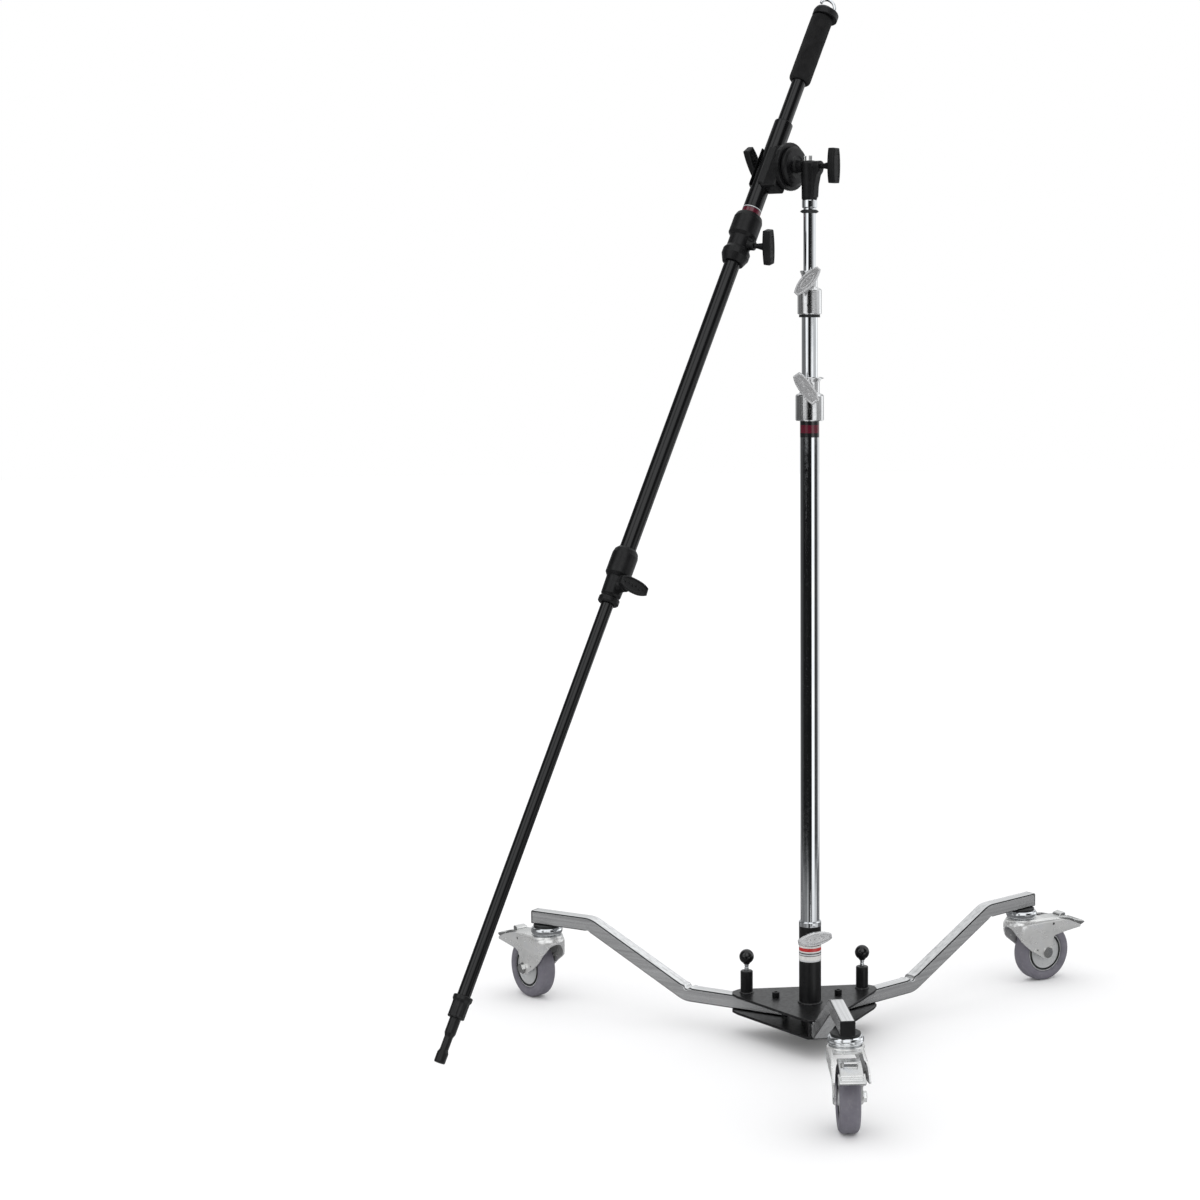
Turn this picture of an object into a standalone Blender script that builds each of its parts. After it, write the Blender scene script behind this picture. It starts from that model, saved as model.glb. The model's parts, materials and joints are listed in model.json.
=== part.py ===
"""Rolling boom stand: folding three-leg caster base, telescoping column, pivoting head and telescoping boom.

Metres, +Z up. The front leg points along -Y and the column axis is vertical.
Every part hangs from the empty stand_origin, which puts the origin at the bottom centre of the bounding box.
"""

import math

import bmesh
import bpy
from mathutils import Matrix, Vector

MM = 0.001

# ---- driving dimensions, millimetres ----
WHEEL_R = 50.0          # caster wheel radius
WHEEL_W = 31.0          # caster wheel width
CASTER_TRAIL = 43.0     # swivel axis to wheel axle
CASTER_TOP = 130.7      # height of the caster's seat
LEG_A = 22.0            # square leg tube, outside
LEG_WALL = 1.6
LEG_Z_LOW = 49.5        # centre height of the legs between the plates
LEG_Z_HIGH = 142.0      # centre height of the legs over the casters
LEG_RUN = 187.0         # horizontal run of the sloping part
LEG_TOP_LEN = 113.9     # straight part over the caster
LEG_BEND_R = 38.0
SIDE_ANGLE = 53.6       # side legs, either side of straight back
SIDE_START, SIDE_END = 45.0, 530.7
FRONT_START, FRONT_END = 24.0, 415.5
CASTER_INSET = 24.4     # caster axis back from the leg's end
PIVOT_S = 62.5          # fold pivots, along each side leg from the column
PLUNGER_S = 116.6
PLATE_T = 4.0
PLATE_TOP = 64.8        # top face of the upper plate
PLATE_LOW = 34.2        # bottom face of the lower plate
COLUMN_R = (15.0, 12.5, 9.75)       # lower, middle and top tube
COLUMN_RI = (13.2, 10.9, 7.6)
SOCKET_R = 17.5
SOCKET_TOP = 188.0
LOWER_TOP = 1017.5
LOWER_COLLAR_Z = 987.8
UPPER_COLLAR_Z = 1148.7
MID_BOTTOM, MID_TOP = 165.0, 1182.5
TOP_BOTTOM = 260.0
SPIGOT_Z = 1330.4
HEAD_Z = 1383.0         # height of the boom's pivot axis
HEAD_PAN = 135.8        # azimuth of the pivot axis about the column
BOOM_OFFSET = 82.0      # column axis to boom axis
BOOM_TILT = 30.5        # boom from the vertical
BOOM_R = (15.0, 12.5, 9.5)          # outer, middle and inner tube
BOOM_RI = (13.1, 10.6, 7.9)
SWIVELS = {"left": 121.6, "right": 24.5, "front": -93.5}
GAP = 0.3
ROUND = 20              # facets round a tube

for old in list(bpy.data.objects):
    bpy.data.objects.remove(old, do_unlink=True)

PARTS = bpy.data.collections.new("rolling_boom_stand")
bpy.context.scene.collection.children.link(PARTS)
CUTTERS = bpy.data.collections.new("cutters")
CUTTERS.hide_render = True
bpy.context.scene.collection.children.link(CUTTERS)

FINISH = {
    "chrome": ((0.82, 0.84, 0.86), 1.0, 0.10),
    "satin": ((0.66, 0.67, 0.68), 1.0, 0.30),
    "zinc": ((0.62, 0.63, 0.62), 1.0, 0.36),
    "black": ((0.012, 0.012, 0.013), 0.0, 0.38),
    "gloss_black": ((0.008, 0.008, 0.009), 0.0, 0.16),
    "foam": ((0.016, 0.016, 0.017), 0.0, 0.92),
    "tyre": ((0.215, 0.205, 0.235), 0.0, 0.55),
    "hub": ((0.50, 0.52, 0.52), 0.4, 0.42),
}


# ---- modelling helpers ----
def add(name, mesh):
    obj = bpy.data.objects.new(name, mesh)
    PARTS.objects.link(obj)
    return obj


def bake(obj):
    """Replaces an object's mesh by its evaluated one."""
    bpy.context.view_layer.update()
    graph = bpy.context.evaluated_depsgraph_get()
    mesh = bpy.data.meshes.new_from_object(obj.evaluated_get(graph))
    obj.modifiers.clear()
    obj.data = mesh
    return obj


def turned(name, profile, steps=ROUND, closed=False):
    """A round part about Z from (radius, height) pairs in mm that run from the top down the outside."""
    mesh = bpy.data.meshes.new(name)
    count = len(profile)
    edges = [(i, i + 1) for i in range(count - 1)] + ([(count - 1, 0)] if closed else [])
    mesh.from_pydata([(r * MM, 0.0, z * MM) for r, z in profile], edges, [])
    obj = add(name, mesh)
    screw = obj.modifiers.new("turn", "SCREW")
    screw.axis = "Z"
    screw.angle = math.tau
    screw.steps = screw.render_steps = steps
    screw.use_merge_vertices = True
    screw.merge_threshold = 0.00001
    return bake(obj)


def tube(name, r_out, r_in, z0, z1, steps=ROUND):
    return turned(name, [(r_out, z1), (r_out, z0), (r_in, z0), (r_in, z1)], steps, True)


def box(name, x0, x1, y0, y1, z0, z1, bevel=0.0, segments=2):
    mesh = bpy.data.meshes.new(name)
    bm = bmesh.new()
    bmesh.ops.create_cube(bm, size=1.0)
    bmesh.ops.scale(bm, vec=((x1 - x0) * MM, (y1 - y0) * MM, (z1 - z0) * MM), verts=bm.verts)
    bmesh.ops.translate(bm, vec=((x0 + x1) / 2 * MM, (y0 + y1) / 2 * MM, (z0 + z1) / 2 * MM), verts=bm.verts)
    if bevel:
        bmesh.ops.bevel(bm, geom=list(bm.edges), offset=bevel * MM, segments=segments, profile=0.5, affect="EDGES")
    bm.to_mesh(mesh)
    bm.free()
    return add(name, mesh)


def cyl(name, r, z0, z1, steps=ROUND, r2=None):
    mesh = bpy.data.meshes.new(name)
    bm = bmesh.new()
    bmesh.ops.create_cone(bm, cap_ends=True, cap_tris=False, segments=steps, radius1=r * MM,
                          radius2=(r if r2 is None else r2) * MM, depth=(z1 - z0) * MM)
    bmesh.ops.translate(bm, vec=(0, 0, (z0 + z1) / 2 * MM), verts=bm.verts)
    bm.to_mesh(mesh)
    bm.free()
    return add(name, mesh)


def outline(name, rings, thickness):
    """A flat shape in XY, centred on z = 0, from one or more closed outlines in mm; the later ones are holes."""
    curve = bpy.data.curves.new(name, "CURVE")
    curve.dimensions = "2D"
    curve.fill_mode = "BOTH"
    curve.extrude = thickness / 2 * MM
    for ring in rings:
        spline = curve.splines.new("POLY")
        spline.points.add(len(ring) - 1)
        for point, (x, y) in zip(spline.points, ring):
            point.co = (x * MM, y * MM, 0.0, 1.0)
        spline.use_cyclic_u = True
    return weld(add(name, curve))


def weld(source):
    """Turns a curve object into a mesh object with its caps welded on."""
    bpy.context.view_layer.update()
    graph = bpy.context.evaluated_depsgraph_get()
    mesh = bpy.data.meshes.new_from_object(source.evaluated_get(graph))
    name = source.name
    bpy.data.objects.remove(source, do_unlink=True)
    bm = bmesh.new()
    bm.from_mesh(mesh)
    bmesh.ops.remove_doubles(bm, verts=bm.verts, dist=0.000001)
    bmesh.ops.recalc_face_normals(bm, faces=bm.faces)
    bm.to_mesh(mesh)
    bm.free()
    return add(name, mesh)


def wire(name, points, radius, resolution=2):
    curve = bpy.data.curves.new(name, "CURVE")
    curve.dimensions = "3D"
    curve.bevel_depth = radius * MM
    curve.bevel_resolution = resolution
    curve.use_fill_caps = True
    spline = curve.splines.new("POLY")
    spline.points.add(len(points) - 1)
    for point, co in zip(spline.points, points):
        point.co = (co[0] * MM, co[1] * MM, co[2] * MM, 1.0)
    return weld(add(name, curve))


def moved(obj, matrix):
    """Moves an object's mesh in its own frame."""
    obj.data.transform(matrix)
    if matrix.determinant() < 0:
        obj.data.flip_normals()
    return obj


def shift(x, y, z):
    return Matrix.Translation((x * MM, y * MM, z * MM))


def turn(degrees, axis):
    return Matrix.Rotation(math.radians(degrees), 4, axis)


def combine(obj, other, how):
    """Joins, cuts or intersects obj with other, which is used up."""
    CUTTERS.objects.link(other)
    PARTS.objects.unlink(other)
    other.display_type = "WIRE"
    other.hide_render = True
    mod = obj.modifiers.new("cut", "BOOLEAN")
    mod.operation = how
    mod.solver = "EXACT"
    mod.object = other
    bake(obj)
    bpy.data.objects.remove(other, do_unlink=True)
    return obj


def join(obj, *others):
    for other in others:
        combine(obj, other, "UNION")
    return obj


def cut(obj, *others):
    for other in others:
        combine(obj, other, "DIFFERENCE")
    return obj


def circle(x, y, r, count=20):
    return [(x + r * math.cos(math.tau * i / count), y + r * math.sin(math.tau * i / count)) for i in range(count)]


def empty(name, parent, x=0.0, y=0.0, z=0.0, rotation=None):
    obj = bpy.data.objects.new(name, None)
    PARTS.objects.link(obj)
    obj.empty_display_size = 0.02
    obj.parent = parent
    obj.matrix_local = shift(x, y, z) @ (rotation or Matrix.Identity(4))
    return obj


def place(obj, name, parent, finish, matrix=None, sharp=35.0):
    obj.name = name
    obj.data.name = name
    obj.parent = parent
    obj.matrix_parent_inverse = Matrix.Identity(4)
    obj.matrix_local = matrix or Matrix.Identity(4)
    color, metallic, rough = FINISH[finish]
    material = bpy.data.materials.new(name)
    material.use_nodes = True
    shader = material.node_tree.nodes["Principled BSDF"]
    shader.inputs["Base Color"].default_value = (*color, 1.0)
    shader.inputs["Metallic"].default_value = metallic
    shader.inputs["Roughness"].default_value = rough
    obj.data.materials.clear()
    obj.data.materials.append(material)
    obj.data.shade_smooth()
    obj.data.set_sharp_from_angle(angle=math.radians(sharp))
    return obj


ORIGIN = empty("stand_origin", None)


# ---- clamp handles: the stem's end is at z = 0 and the handle stands out along +Z, its bar along X ----
def t_handle(reach=23.5):
    half = [(27, 0), (26.6, 6.6), (24.6, 8.4), (12, 9.4), (0, 9.7)]
    ring = half + [(-x, y) for x, y in reversed(half[:-1])]
    ring += [(x, -y) for x, y in reversed(ring[1:-1])]
    bar = outline("bar", [ring], 13.0)
    bm = bmesh.new()
    bm.from_mesh(bar.data)
    rim = [e for e in bm.edges if len(e.link_faces) == 2 and abs(e.link_faces[0].normal.z - e.link_faces[1].normal.z) > 0.5]
    bmesh.ops.bevel(bm, geom=rim, offset=2.4 * MM, segments=1, profile=0.5, affect="EDGES")
    bm.to_mesh(bar.data)
    bm.free()
    moved(bar, shift(0, 0, reach))
    foot = min(4.0, reach - 8.5)
    stem = turned("stem", [(0, reach - 2), (7.4, reach - 2), (7.4, reach - 6), (3.9, foot), (3.9, 0), (0, 0)], 14)
    return join(bar, stem)


def lobed_knob():
    half = [(27, 0), (26.2, 4.2), (19, 8.0), (9, 10.3), (0, 10.8)]
    ring = half + [(-x, y) for x, y in reversed(half[:-1])]
    ring += [(x, -y) for x, y in reversed(ring[1:-1])]
    bar = outline("bar", [ring], 9.0)
    bm = bmesh.new()
    bm.from_mesh(bar.data)
    rim = [e for e in bm.edges if len(e.link_faces) == 2 and abs(e.link_faces[0].normal.z - e.link_faces[1].normal.z) > 0.5]
    bmesh.ops.bevel(bm, geom=rim, offset=1.6 * MM, segments=1, profile=0.5, affect="EDGES")
    bm.to_mesh(bar.data)
    bm.free()
    moved(bar, shift(0, 0, 14.5))
    stem = turned("stem", [(0, 12), (8.4, 12), (4.2, 4.0), (4.2, 0), (0, 0)], 12)
    return join(bar, stem)


def facing(azimuth, radius, z, bar_angle):
    """Matrix that stands a handle out from the column: azimuth in plan, the bar turned by bar_angle from level."""
    return turn(azimuth, "Z") @ shift(radius, 0, z) @ turn(90, "Y") @ turn(90 + bar_angle, "Z")


# ---- base plates ----
side_dirs = {"left": 90.0 + SIDE_ANGLE, "right": 90.0 - SIDE_ANGLE}


def along(azimuth, s):
    return s * math.cos(math.radians(azimuth)), s * math.sin(math.radians(azimuth))


plate_ring = [(-104, 92), (-116, 80), (-117.5, 66), (-111, 50), (-17, -101), (17, -101), (111, 50), (117.5, 66), (116, 80), (104, 92)]
bolt_holes = [circle(*along(side_dirs[side], PIVOT_S), 4.3, 16) for side in ("left", "right")]
pin_holes = [circle(*along(side_dirs[side], PLUNGER_S), 3.6, 16) for side in ("left", "right")]
upper = outline("plate", [plate_ring] + bolt_holes + pin_holes, PLATE_T)
place(upper, "base_plate_upper", ORIGIN, "black", shift(0, 0, PLATE_TOP - PLATE_T / 2))
lower = outline("plate", [plate_ring] + bolt_holes, PLATE_T)
place(lower, "base_plate_lower", ORIGIN, "black", shift(0, 0, PLATE_LOW + PLATE_T / 2))
web = outline("web", [[(-15.6, -100.5), (-11.4, -100.5), (-11.4, -20), (11.4, -20), (11.4, -100.5), (15.6, -100.5), (15.6, -6), (-15.6, -6)]], LEG_A)
place(web, "base_web", ORIGIN, "black", shift(0, 0, LEG_Z_LOW))

socket = tube("socket", SOCKET_R, COLUMN_R[0] + 0.4, PLATE_TOP + GAP, SOCKET_TOP)
boss = moved(cyl("boss", 8.0, 16.2, 21.0, 16), turn(-85, "Z") @ shift(0, 0, 175.0) @ turn(90, "Y"))
place(join(socket, boss), "base_socket", ORIGIN, "black")
ring = turned("ring", [(16.9, SOCKET_TOP + 8.3), (17.7, SOCKET_TOP + 7.2), (17.7, SOCKET_TOP + GAP), (15.4, SOCKET_TOP + GAP), (15.4, SOCKET_TOP + 8.3)], ROUND, True)
place(ring, "socket_ring", ORIGIN, "chrome")
knob_frame = empty("joint_socket_knob", ORIGIN, 0, 0, 0, facing(-85, 21.0 + GAP, 175.0, 9))
place(lobed_knob(), "socket_knob", knob_frame, "satin")

for side, azimuth in side_dirs.items():
    px, py = along(azimuth, PIVOT_S)
    head_top = PLATE_TOP + 8.2
    bolt = turned("bolt", [(0, head_top), (5.0, head_top), (6.0, head_top - 1), (6.0, PLATE_TOP + GAP), (4.0, PLATE_TOP + GAP), (4.0, PLATE_LOW - GAP),
                           (6.0, PLATE_LOW - GAP), (6.0, PLATE_LOW - 5), (0, PLATE_LOW - 5)], 16)
    place(bolt, f"leg_pivot_bolt_{side}", ORIGIN, "black", shift(px, py, 0))
    qx, qy = along(azimuth, PLUNGER_S)
    housing = turned("housing", [(9.2, 101.0), (9.9, 100.2), (9.9, PLATE_TOP + GAP), (3.9, PLATE_TOP + GAP), (3.9, 101.0)], 16, True)
    place(housing, f"plunger_housing_{side}", ORIGIN, "black", shift(qx, qy, 0))
    ball = [(0.0, 135.4)] + [(11.7 * math.sin(math.radians(a)), 123.7 + 11.7 * math.cos(math.radians(a))) for a in (26, 52, 78, 104, 130)]
    ball += [(4.9, 112.0), (3.4, 111.4), (3.4, 61.0), (0, 61.0)]
    pull = empty(f"joint_plunger_{side}", ORIGIN, qx, qy, 0)
    place(turned("pin", ball, 16), f"plunger_pin_{side}", pull, "gloss_black")


# ---- legs ----
def leg_profile(start, end, half):
    """Side outline of the bent leg tube, in (s, z), offset by half from its centre line."""
    high, low = end - LEG_TOP_LEN, end - LEG_TOP_LEN - LEG_RUN
    slope = math.atan2(LEG_Z_HIGH - LEG_Z_LOW, LEG_RUN)
    reach = LEG_BEND_R * math.tan(slope / 2)
    upper_side, lower_side = [], []
    centre_low = (low - reach, LEG_Z_LOW + LEG_BEND_R)
    centre_high = (high + reach, LEG_Z_HIGH - LEG_BEND_R)
    steps = 3
    for i in range(steps + 1):
        a = slope * i / steps
        upper_side.append((centre_low[0] + (LEG_BEND_R - half) * math.sin(a), centre_low[1] - (LEG_BEND_R - half) * math.cos(a)))
        lower_side.append((centre_low[0] + (LEG_BEND_R + half) * math.sin(a), centre_low[1] - (LEG_BEND_R + half) * math.cos(a)))
    for i in range(steps + 1):
        a = slope * (1 - i / steps)
        upper_side.append((centre_high[0] - (LEG_BEND_R + half) * math.sin(a), centre_high[1] + (LEG_BEND_R + half) * math.cos(a)))
        lower_side.append((centre_high[0] - (LEG_BEND_R - half) * math.sin(a), centre_high[1] + (LEG_BEND_R - half) * math.cos(a)))
    upper_side = [(start, LEG_Z_LOW + half)] + upper_side + [(end, LEG_Z_HIGH + half)]
    lower_side = [(start, LEG_Z_LOW - half)] + lower_side + [(end, LEG_Z_HIGH - half)]
    return upper_side + lower_side[::-1]


def leg_tube(start, end):
    outer = outline("leg", [leg_profile(start, end, LEG_A / 2)], LEG_A)
    bm = bmesh.new()
    bm.from_mesh(outer.data)
    ends = (start * MM, end * MM)
    rim = [e for e in bm.edges if len(e.link_faces) == 2 and abs(abs(e.link_faces[0].normal.z) - abs(e.link_faces[1].normal.z)) > 0.5
           and not any(all(abs(v.co.x - x) < 1e-6 for v in e.verts) for x in ends)]
    bmesh.ops.bevel(bm, geom=rim, offset=1.8 * MM, segments=1, profile=0.5, affect="EDGES")
    bm.to_mesh(outer.data)
    bm.free()
    inner = outline("hollow", [leg_profile(start - 5, end + 5, LEG_A / 2 - LEG_WALL)], LEG_A - 2 * LEG_WALL)
    cut(outer, inner)
    return moved(outer, turn(90, "X"))


def leg_cap():
    cap = box("cap", 0, 2.4, -11, 11, -11, 11, 0.8, 1)
    plug = box("plug", -8, 1.0, -9.1, 9.1, -9.1, 9.1)
    return join(cap, plug)


# ---- casters: +X is the trailing side, the swivel axis is x = y = 0, the floor is z = 0 ----
def race():
    return turned("race", [(0, CASTER_TOP), (21.5, CASTER_TOP), (21.5, 126.8), (24.4, 126.2), (26.2, 123.4), (26.2, 119.6), (24.8, 115.6),
                           (22.8, 113.2), (22.8, 112.0), (0, 112.0)], 28)


def fork_blank(name, half_top, half_low, grow, top, side):
    """A block of the fork's side outline whose width narrows from the crown to the axle."""
    body = moved(outline(name, [side], 80.0), turn(90, "X"))
    front = [(-half_low, 20), (half_low, 20), (half_low, 66), (half_top - 1.5, 90), (half_top, 98), (half_top, top), (-half_top, top), (-half_top, 98), (-half_top + 1.5, 90), (-half_low, 66)]
    limits = moved(outline(name + "_width", [front], 400.0), turn(90, "Z") @ turn(90, "X"))
    return combine(body, limits, "INTERSECT")


def hood(name, radius, middle, low, top, edge):
    """A tall block, flat on two sides and round at the leading end, with a sloped top edge."""
    ring = [(150.0, -radius)] + [(middle + radius * math.cos(a), radius * math.sin(a)) for a in [math.pi * (1.5 - i / 14) for i in range(15)]] + [(150.0, radius)]
    block = moved(outline(name, [ring], top - low), shift(0, 0, (top + low) / 2))
    if edge:
        bm = bmesh.new()
        bm.from_mesh(block.data)
        bmesh.ops.dissolve_limit(bm, angle_limit=0.01, verts=bm.verts, edges=bm.edges)
        rim = [e for e in bm.edges if all(abs(v.co.z - top * MM) < 1e-6 for v in e.verts)]
        bmesh.ops.bevel(bm, geom=rim, offset=edge * MM, segments=2, profile=0.5, affect="EDGES")
        bm.to_mesh(block.data)
        bm.free()
    return block


def fork():
    side = [(-33, 106.4), (-27, 97.5), (-23, 88), (-15, 76), (8, 57), (31, 43.5), (37, 40), (47, 40), (53, 46), (53, 77), (57, 80.5), (77, 84), (108, 88.5), (109.5, 92),
            (86, 102.5), (60, 109.5), (32, 112.0), (-33, 112.0)]
    outer = fork_blank("fork", 27.0, 20.4, 0, 130.0, side)
    combine(outer, hood("fork_hood", 27.0, -5.0, 20.0, 111.6, 5.0), "INTERSECT")
    hollow_side = [(-60, 30), (150, 30), (150, 130), (36, 130), (36, 108.6), (-60, 108.6)]
    inner = fork_blank("fork_hollow", 24.2, 17.6, 0, 140.0, hollow_side)
    combine(inner, hood("fork_hollow_hood", 24.2, -5.0, 20.0, 140.0, 0.0), "INTERSECT")
    cut(outer, inner)
    ring = turned("ring", [(24.0, 112.9), (26.0, 112.9), (26.6, 112.2), (26.6, 109.6), (24.0, 109.6)], 28, True)
    axle = moved(cyl("axle", 5.8, -25.0, 25.0, 16), shift(CASTER_TRAIL, 0, WHEEL_R) @ turn(90, "X"))
    head = moved(cyl("head", 8.2, 19.0, 25.6, 6), shift(CASTER_TRAIL, 0, WHEEL_R) @ turn(90, "X"))
    nut = moved(cyl("nut", 8.2, -26.6, -19.0, 6), shift(CASTER_TRAIL, 0, WHEEL_R) @ turn(90, "X"))
    return join(outer, ring, axle, head, nut)


def tyre():
    w = WHEEL_W / 2
    ring_in = 34.3
    profile = [(ring_in, w - 3.6), (40.0, w), (46.5, w - 2.8), (WHEEL_R, w - 9.5), (WHEEL_R, -w + 9.5), (46.5, -w + 2.8), (40.0, -w), (ring_in, -w + 3.6)]
    return moved(turned("tyre", profile, 24, True), turn(90, "X"))


def hub():
    w = WHEEL_W / 2
    profile = [(6.1, w), (11.0, w), (12.5, w - 4.0), (34.0, w - 3.6), (34.0, -w + 3.6), (12.5, -w + 4.0), (11.0, -w), (6.1, -w)]
    return moved(turned("hub", profile, 24, True), turn(90, "X"))


def pedal():
    """Brake pedal about its pivot, which is this piece's origin, at x = 50, z = 104.6 of the caster."""
    side = [(-4, 1.4), (4, 2.6), (24, 3.2), (40, 1.0), (56, -4.0), (56, -6.8), (40, -1.8), (24, 0.4), (4, -2.2), (-4, -2.2)]
    plate = moved(outline("pedal", [side], 33.0), turn(90, "X"))
    bar_side = [(50, -2.6), (60, -6.0), (73.4, -9.4), (74.4, -11.0), (61.0, -17.6), (58.0, -17.2), (54.6, -12.0), (50, -6.0)]
    bar = moved(outline("bar", [bar_side], 39.0), turn(90, "X"))
    tab_side = [(24.6, 2.0), (37.0, 0.6), (38.4, 7.2), (35.6, 8.8), (27.6, 6.8), (25.2, 4.8)]
    tab = moved(outline("tab", [tab_side], 22.0), turn(90, "X"))
    pin = moved(cyl("pin", 2.8, -16.5, 16.5, 10), turn(90, "X"))
    return join(plate, bar, tab, pin)


def caster(side, parent, s):
    seat = empty(f"joint_caster_{side}", parent, s, 0, 0, Matrix.Identity(4))
    place(race(), f"caster_race_{side}", parent, "chrome", shift(s, 0, 0))
    return seat


caster_shapes = {}


def fit_caster(side, seat, azimuth):
    seat.matrix_local = seat.matrix_local @ turn(SWIVELS[side] - azimuth, "Z")
    if not caster_shapes:
        caster_shapes.update(fork=fork(), tyre=tyre(), hub=hub(), pedal=pedal())
        for shape in caster_shapes.values():
            PARTS.objects.unlink(shape)

    def copy(key):
        return add(key, caster_shapes[key].data.copy())

    place(copy("fork"), f"caster_fork_{side}", seat, "zinc")
    axle = empty(f"joint_wheel_{side}", seat, CASTER_TRAIL, 0, WHEEL_R)
    place(copy("tyre"), f"caster_tyre_{side}", axle, "tyre")
    place(copy("hub"), f"caster_hub_{side}", axle, "hub")
    foot = empty(f"joint_pedal_{side}", seat, 50.0, 0, 104.6)
    place(copy("pedal"), f"caster_pedal_{side}", foot, "zinc")


for side, azimuth in side_dirs.items():
    px, py = along(azimuth, PIVOT_S)
    fold = empty(f"joint_leg_{side}", ORIGIN, px, py, 0, turn(azimuth, "Z"))
    leg = leg_tube(SIDE_START - PIVOT_S, SIDE_END - 2.7 - PIVOT_S)
    hole = cyl("hole", 4.3, 20, 80, 16)
    place(cut(leg, hole), f"leg_{side}", fold, "chrome")
    place(leg_cap(), f"leg_cap_{side}", fold, "black", shift(SIDE_END - 2.4 - PIVOT_S, 0, LEG_Z_HIGH))
    fit_caster(side, caster(side, fold, SIDE_END - CASTER_INSET - PIVOT_S), azimuth)

front = empty("leg_front_frame", ORIGIN, 0, 0, 0, turn(-90, "Z"))
place(leg_tube(FRONT_START, FRONT_END - 2.7), "leg_front", front, "chrome")
place(leg_cap(), "leg_cap_front", front, "black", shift(FRONT_END - 2.4, 0, LEG_Z_HIGH))
fit_caster("front", caster("front", front, FRONT_END - CASTER_INSET), -90.0)
for shape in caster_shapes.values():
    bpy.data.objects.remove(shape, do_unlink=True)

# ---- column ----
column = empty("joint_column_lift", ORIGIN)
place(tube("lower", COLUMN_R[0], COLUMN_RI[0], PLATE_TOP + 0.7, LOWER_TOP), "column_lower_tube", column, "chrome")
z = LOWER_COLLAR_Z
collar = turned("collar", [(18.6, z + 68), (19.4, z + 66.6), (15.7, z + 61.0), (15.7, z + 42.2),
                           (22.3, z + 39.6), (22.3, z + 1.2), (21.4, z), (15.3, z), (15.3, LOWER_TOP + GAP), (12.8, LOWER_TOP + GAP), (12.8, z + 68)], ROUND, True)
boss = moved(cyl("boss", 8.4, 14.0, 22.0, 16), turn(-106, "Z") @ shift(0, 0, 1039.0) @ turn(90, "Y"))
place(join(collar, boss), "column_lower_collar", column, "satin")
frame = empty("joint_lower_knob", column, 0, 0, 0, facing(-106, 22.0 + GAP, 1039.0, 125))
place(lobed_knob(), "column_lower_knob", frame, "satin")

middle = empty("joint_mid_riser", column)
place(tube("mid", COLUMN_R[1], COLUMN_RI[1], MID_BOTTOM, MID_TOP), "column_mid_tube", middle, "chrome")
z = UPPER_COLLAR_Z
collar = turned("collar", [(14.4, z + 72.4), (15.0, z + 71.0), (12.5, z + 66.0), (12.5, z + 45.6),
                           (19.0, z + 43), (19.0, z + 6.0), (18.2, z + 4.9), (12.8, z + 4.9), (12.8, MID_TOP + GAP), (10.05, MID_TOP + GAP), (10.05, z + 72.4)], ROUND, True)
boss = moved(cyl("boss", 7.6, 11.4, 19.0, 16), turn(-103, "Z") @ shift(0, 0, 1204.5) @ turn(90, "Y"))
place(join(collar, boss), "column_upper_collar", middle, "satin")
place(turned("seal", [(16.6, z + 4.6), (16.6, z), (12.8, z), (12.8, z + 4.6)], ROUND, True), "column_upper_seal", middle, "black")
frame = empty("joint_upper_knob", middle, 0, 0, 0, facing(-103, 19.0 + GAP, 1204.5, 48))
place(lobed_knob(), "column_upper_knob", frame, "satin")

top = empty("joint_top_riser", middle)
profile = [(0, 1374.0), (7.2, 1374.0), (8.0, 1373.0), (8.0, SPIGOT_Z), (11.8, SPIGOT_Z), (11.8, 1318.0), (COLUMN_R[2], 1318.0),
           (COLUMN_R[2], TOP_BOTTOM), (COLUMN_RI[2], TOP_BOTTOM), (COLUMN_RI[2], 1300.0), (0, 1300.0)]
place(turned("top", profile, ROUND), "column_top_tube", top, "chrome")
place(turned("washer", [(11.5, 1315.4), (14.2, 1313.2), (14.2, 1311.6), (10.05, 1309.8), (10.05, 1315.4)], ROUND, True), "spigot_washer", top, "black")

# ---- head: the frame's +X is the pivot axis ----
pan = empty("joint_head_pan", top, 0, 0, 0, turn(HEAD_PAN, "Z"))
body = turned("receiver", [(0, 1391.2), (10.0, 1391.2), (13.4, 1387.6), (12.3, 1350), (12.3, SPIGOT_Z + GAP),
                           (8.3, SPIGOT_Z + GAP), (8.3, 1374.6), (0, 1374.6)], ROUND)
cheek = moved(outline("cheek", [[(-9, 1334), (-12.6, 1334), (-13.6, 1352), (-17.6, 1368), (-22.6, 1374), (-22.6, 1389), (-9, 1389)]], 15.0), turn(90, "X"))
lug = moved(cyl("lug", 8.6, -23.0, -9.0, 16), shift(0, 0, 1382.0) @ turn(90, "Y"))
stub = moved(cyl("stub", 9.0, 9.0, 26.0, 12), shift(0, 0, HEAD_Z) @ turn(90, "Y"))
disc = moved(turned("disc", [(0, 33.0), (31.0, 33.0), (31.0, 26.6), (27.0, 24.0), (0, 24.0)], 24), shift(0, 0, HEAD_Z) @ turn(90, "Y"))
post_a = cyl("post", 2.7, 1386.0, 1399.0, 8)
post_b = moved(cyl("post", 2.7, 1386.0, 1399.0, 8), shift(-2.3, 0, 0))
moved(post_a, shift(8.4, 0, 0))
bore = cyl("bore", 8.3, 1320, 1374.6, ROUND)
receiver = join(body, cheek, lug, stub, disc, post_a, post_b)
place(cut(receiver, bore), "receiver", pan, "black")
frame = empty("joint_receiver_handle", pan, -23.0 - GAP, 0, 1382.0, turn(-90, "Y"))
place(t_handle(), "receiver_handle", frame, "black")

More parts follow.
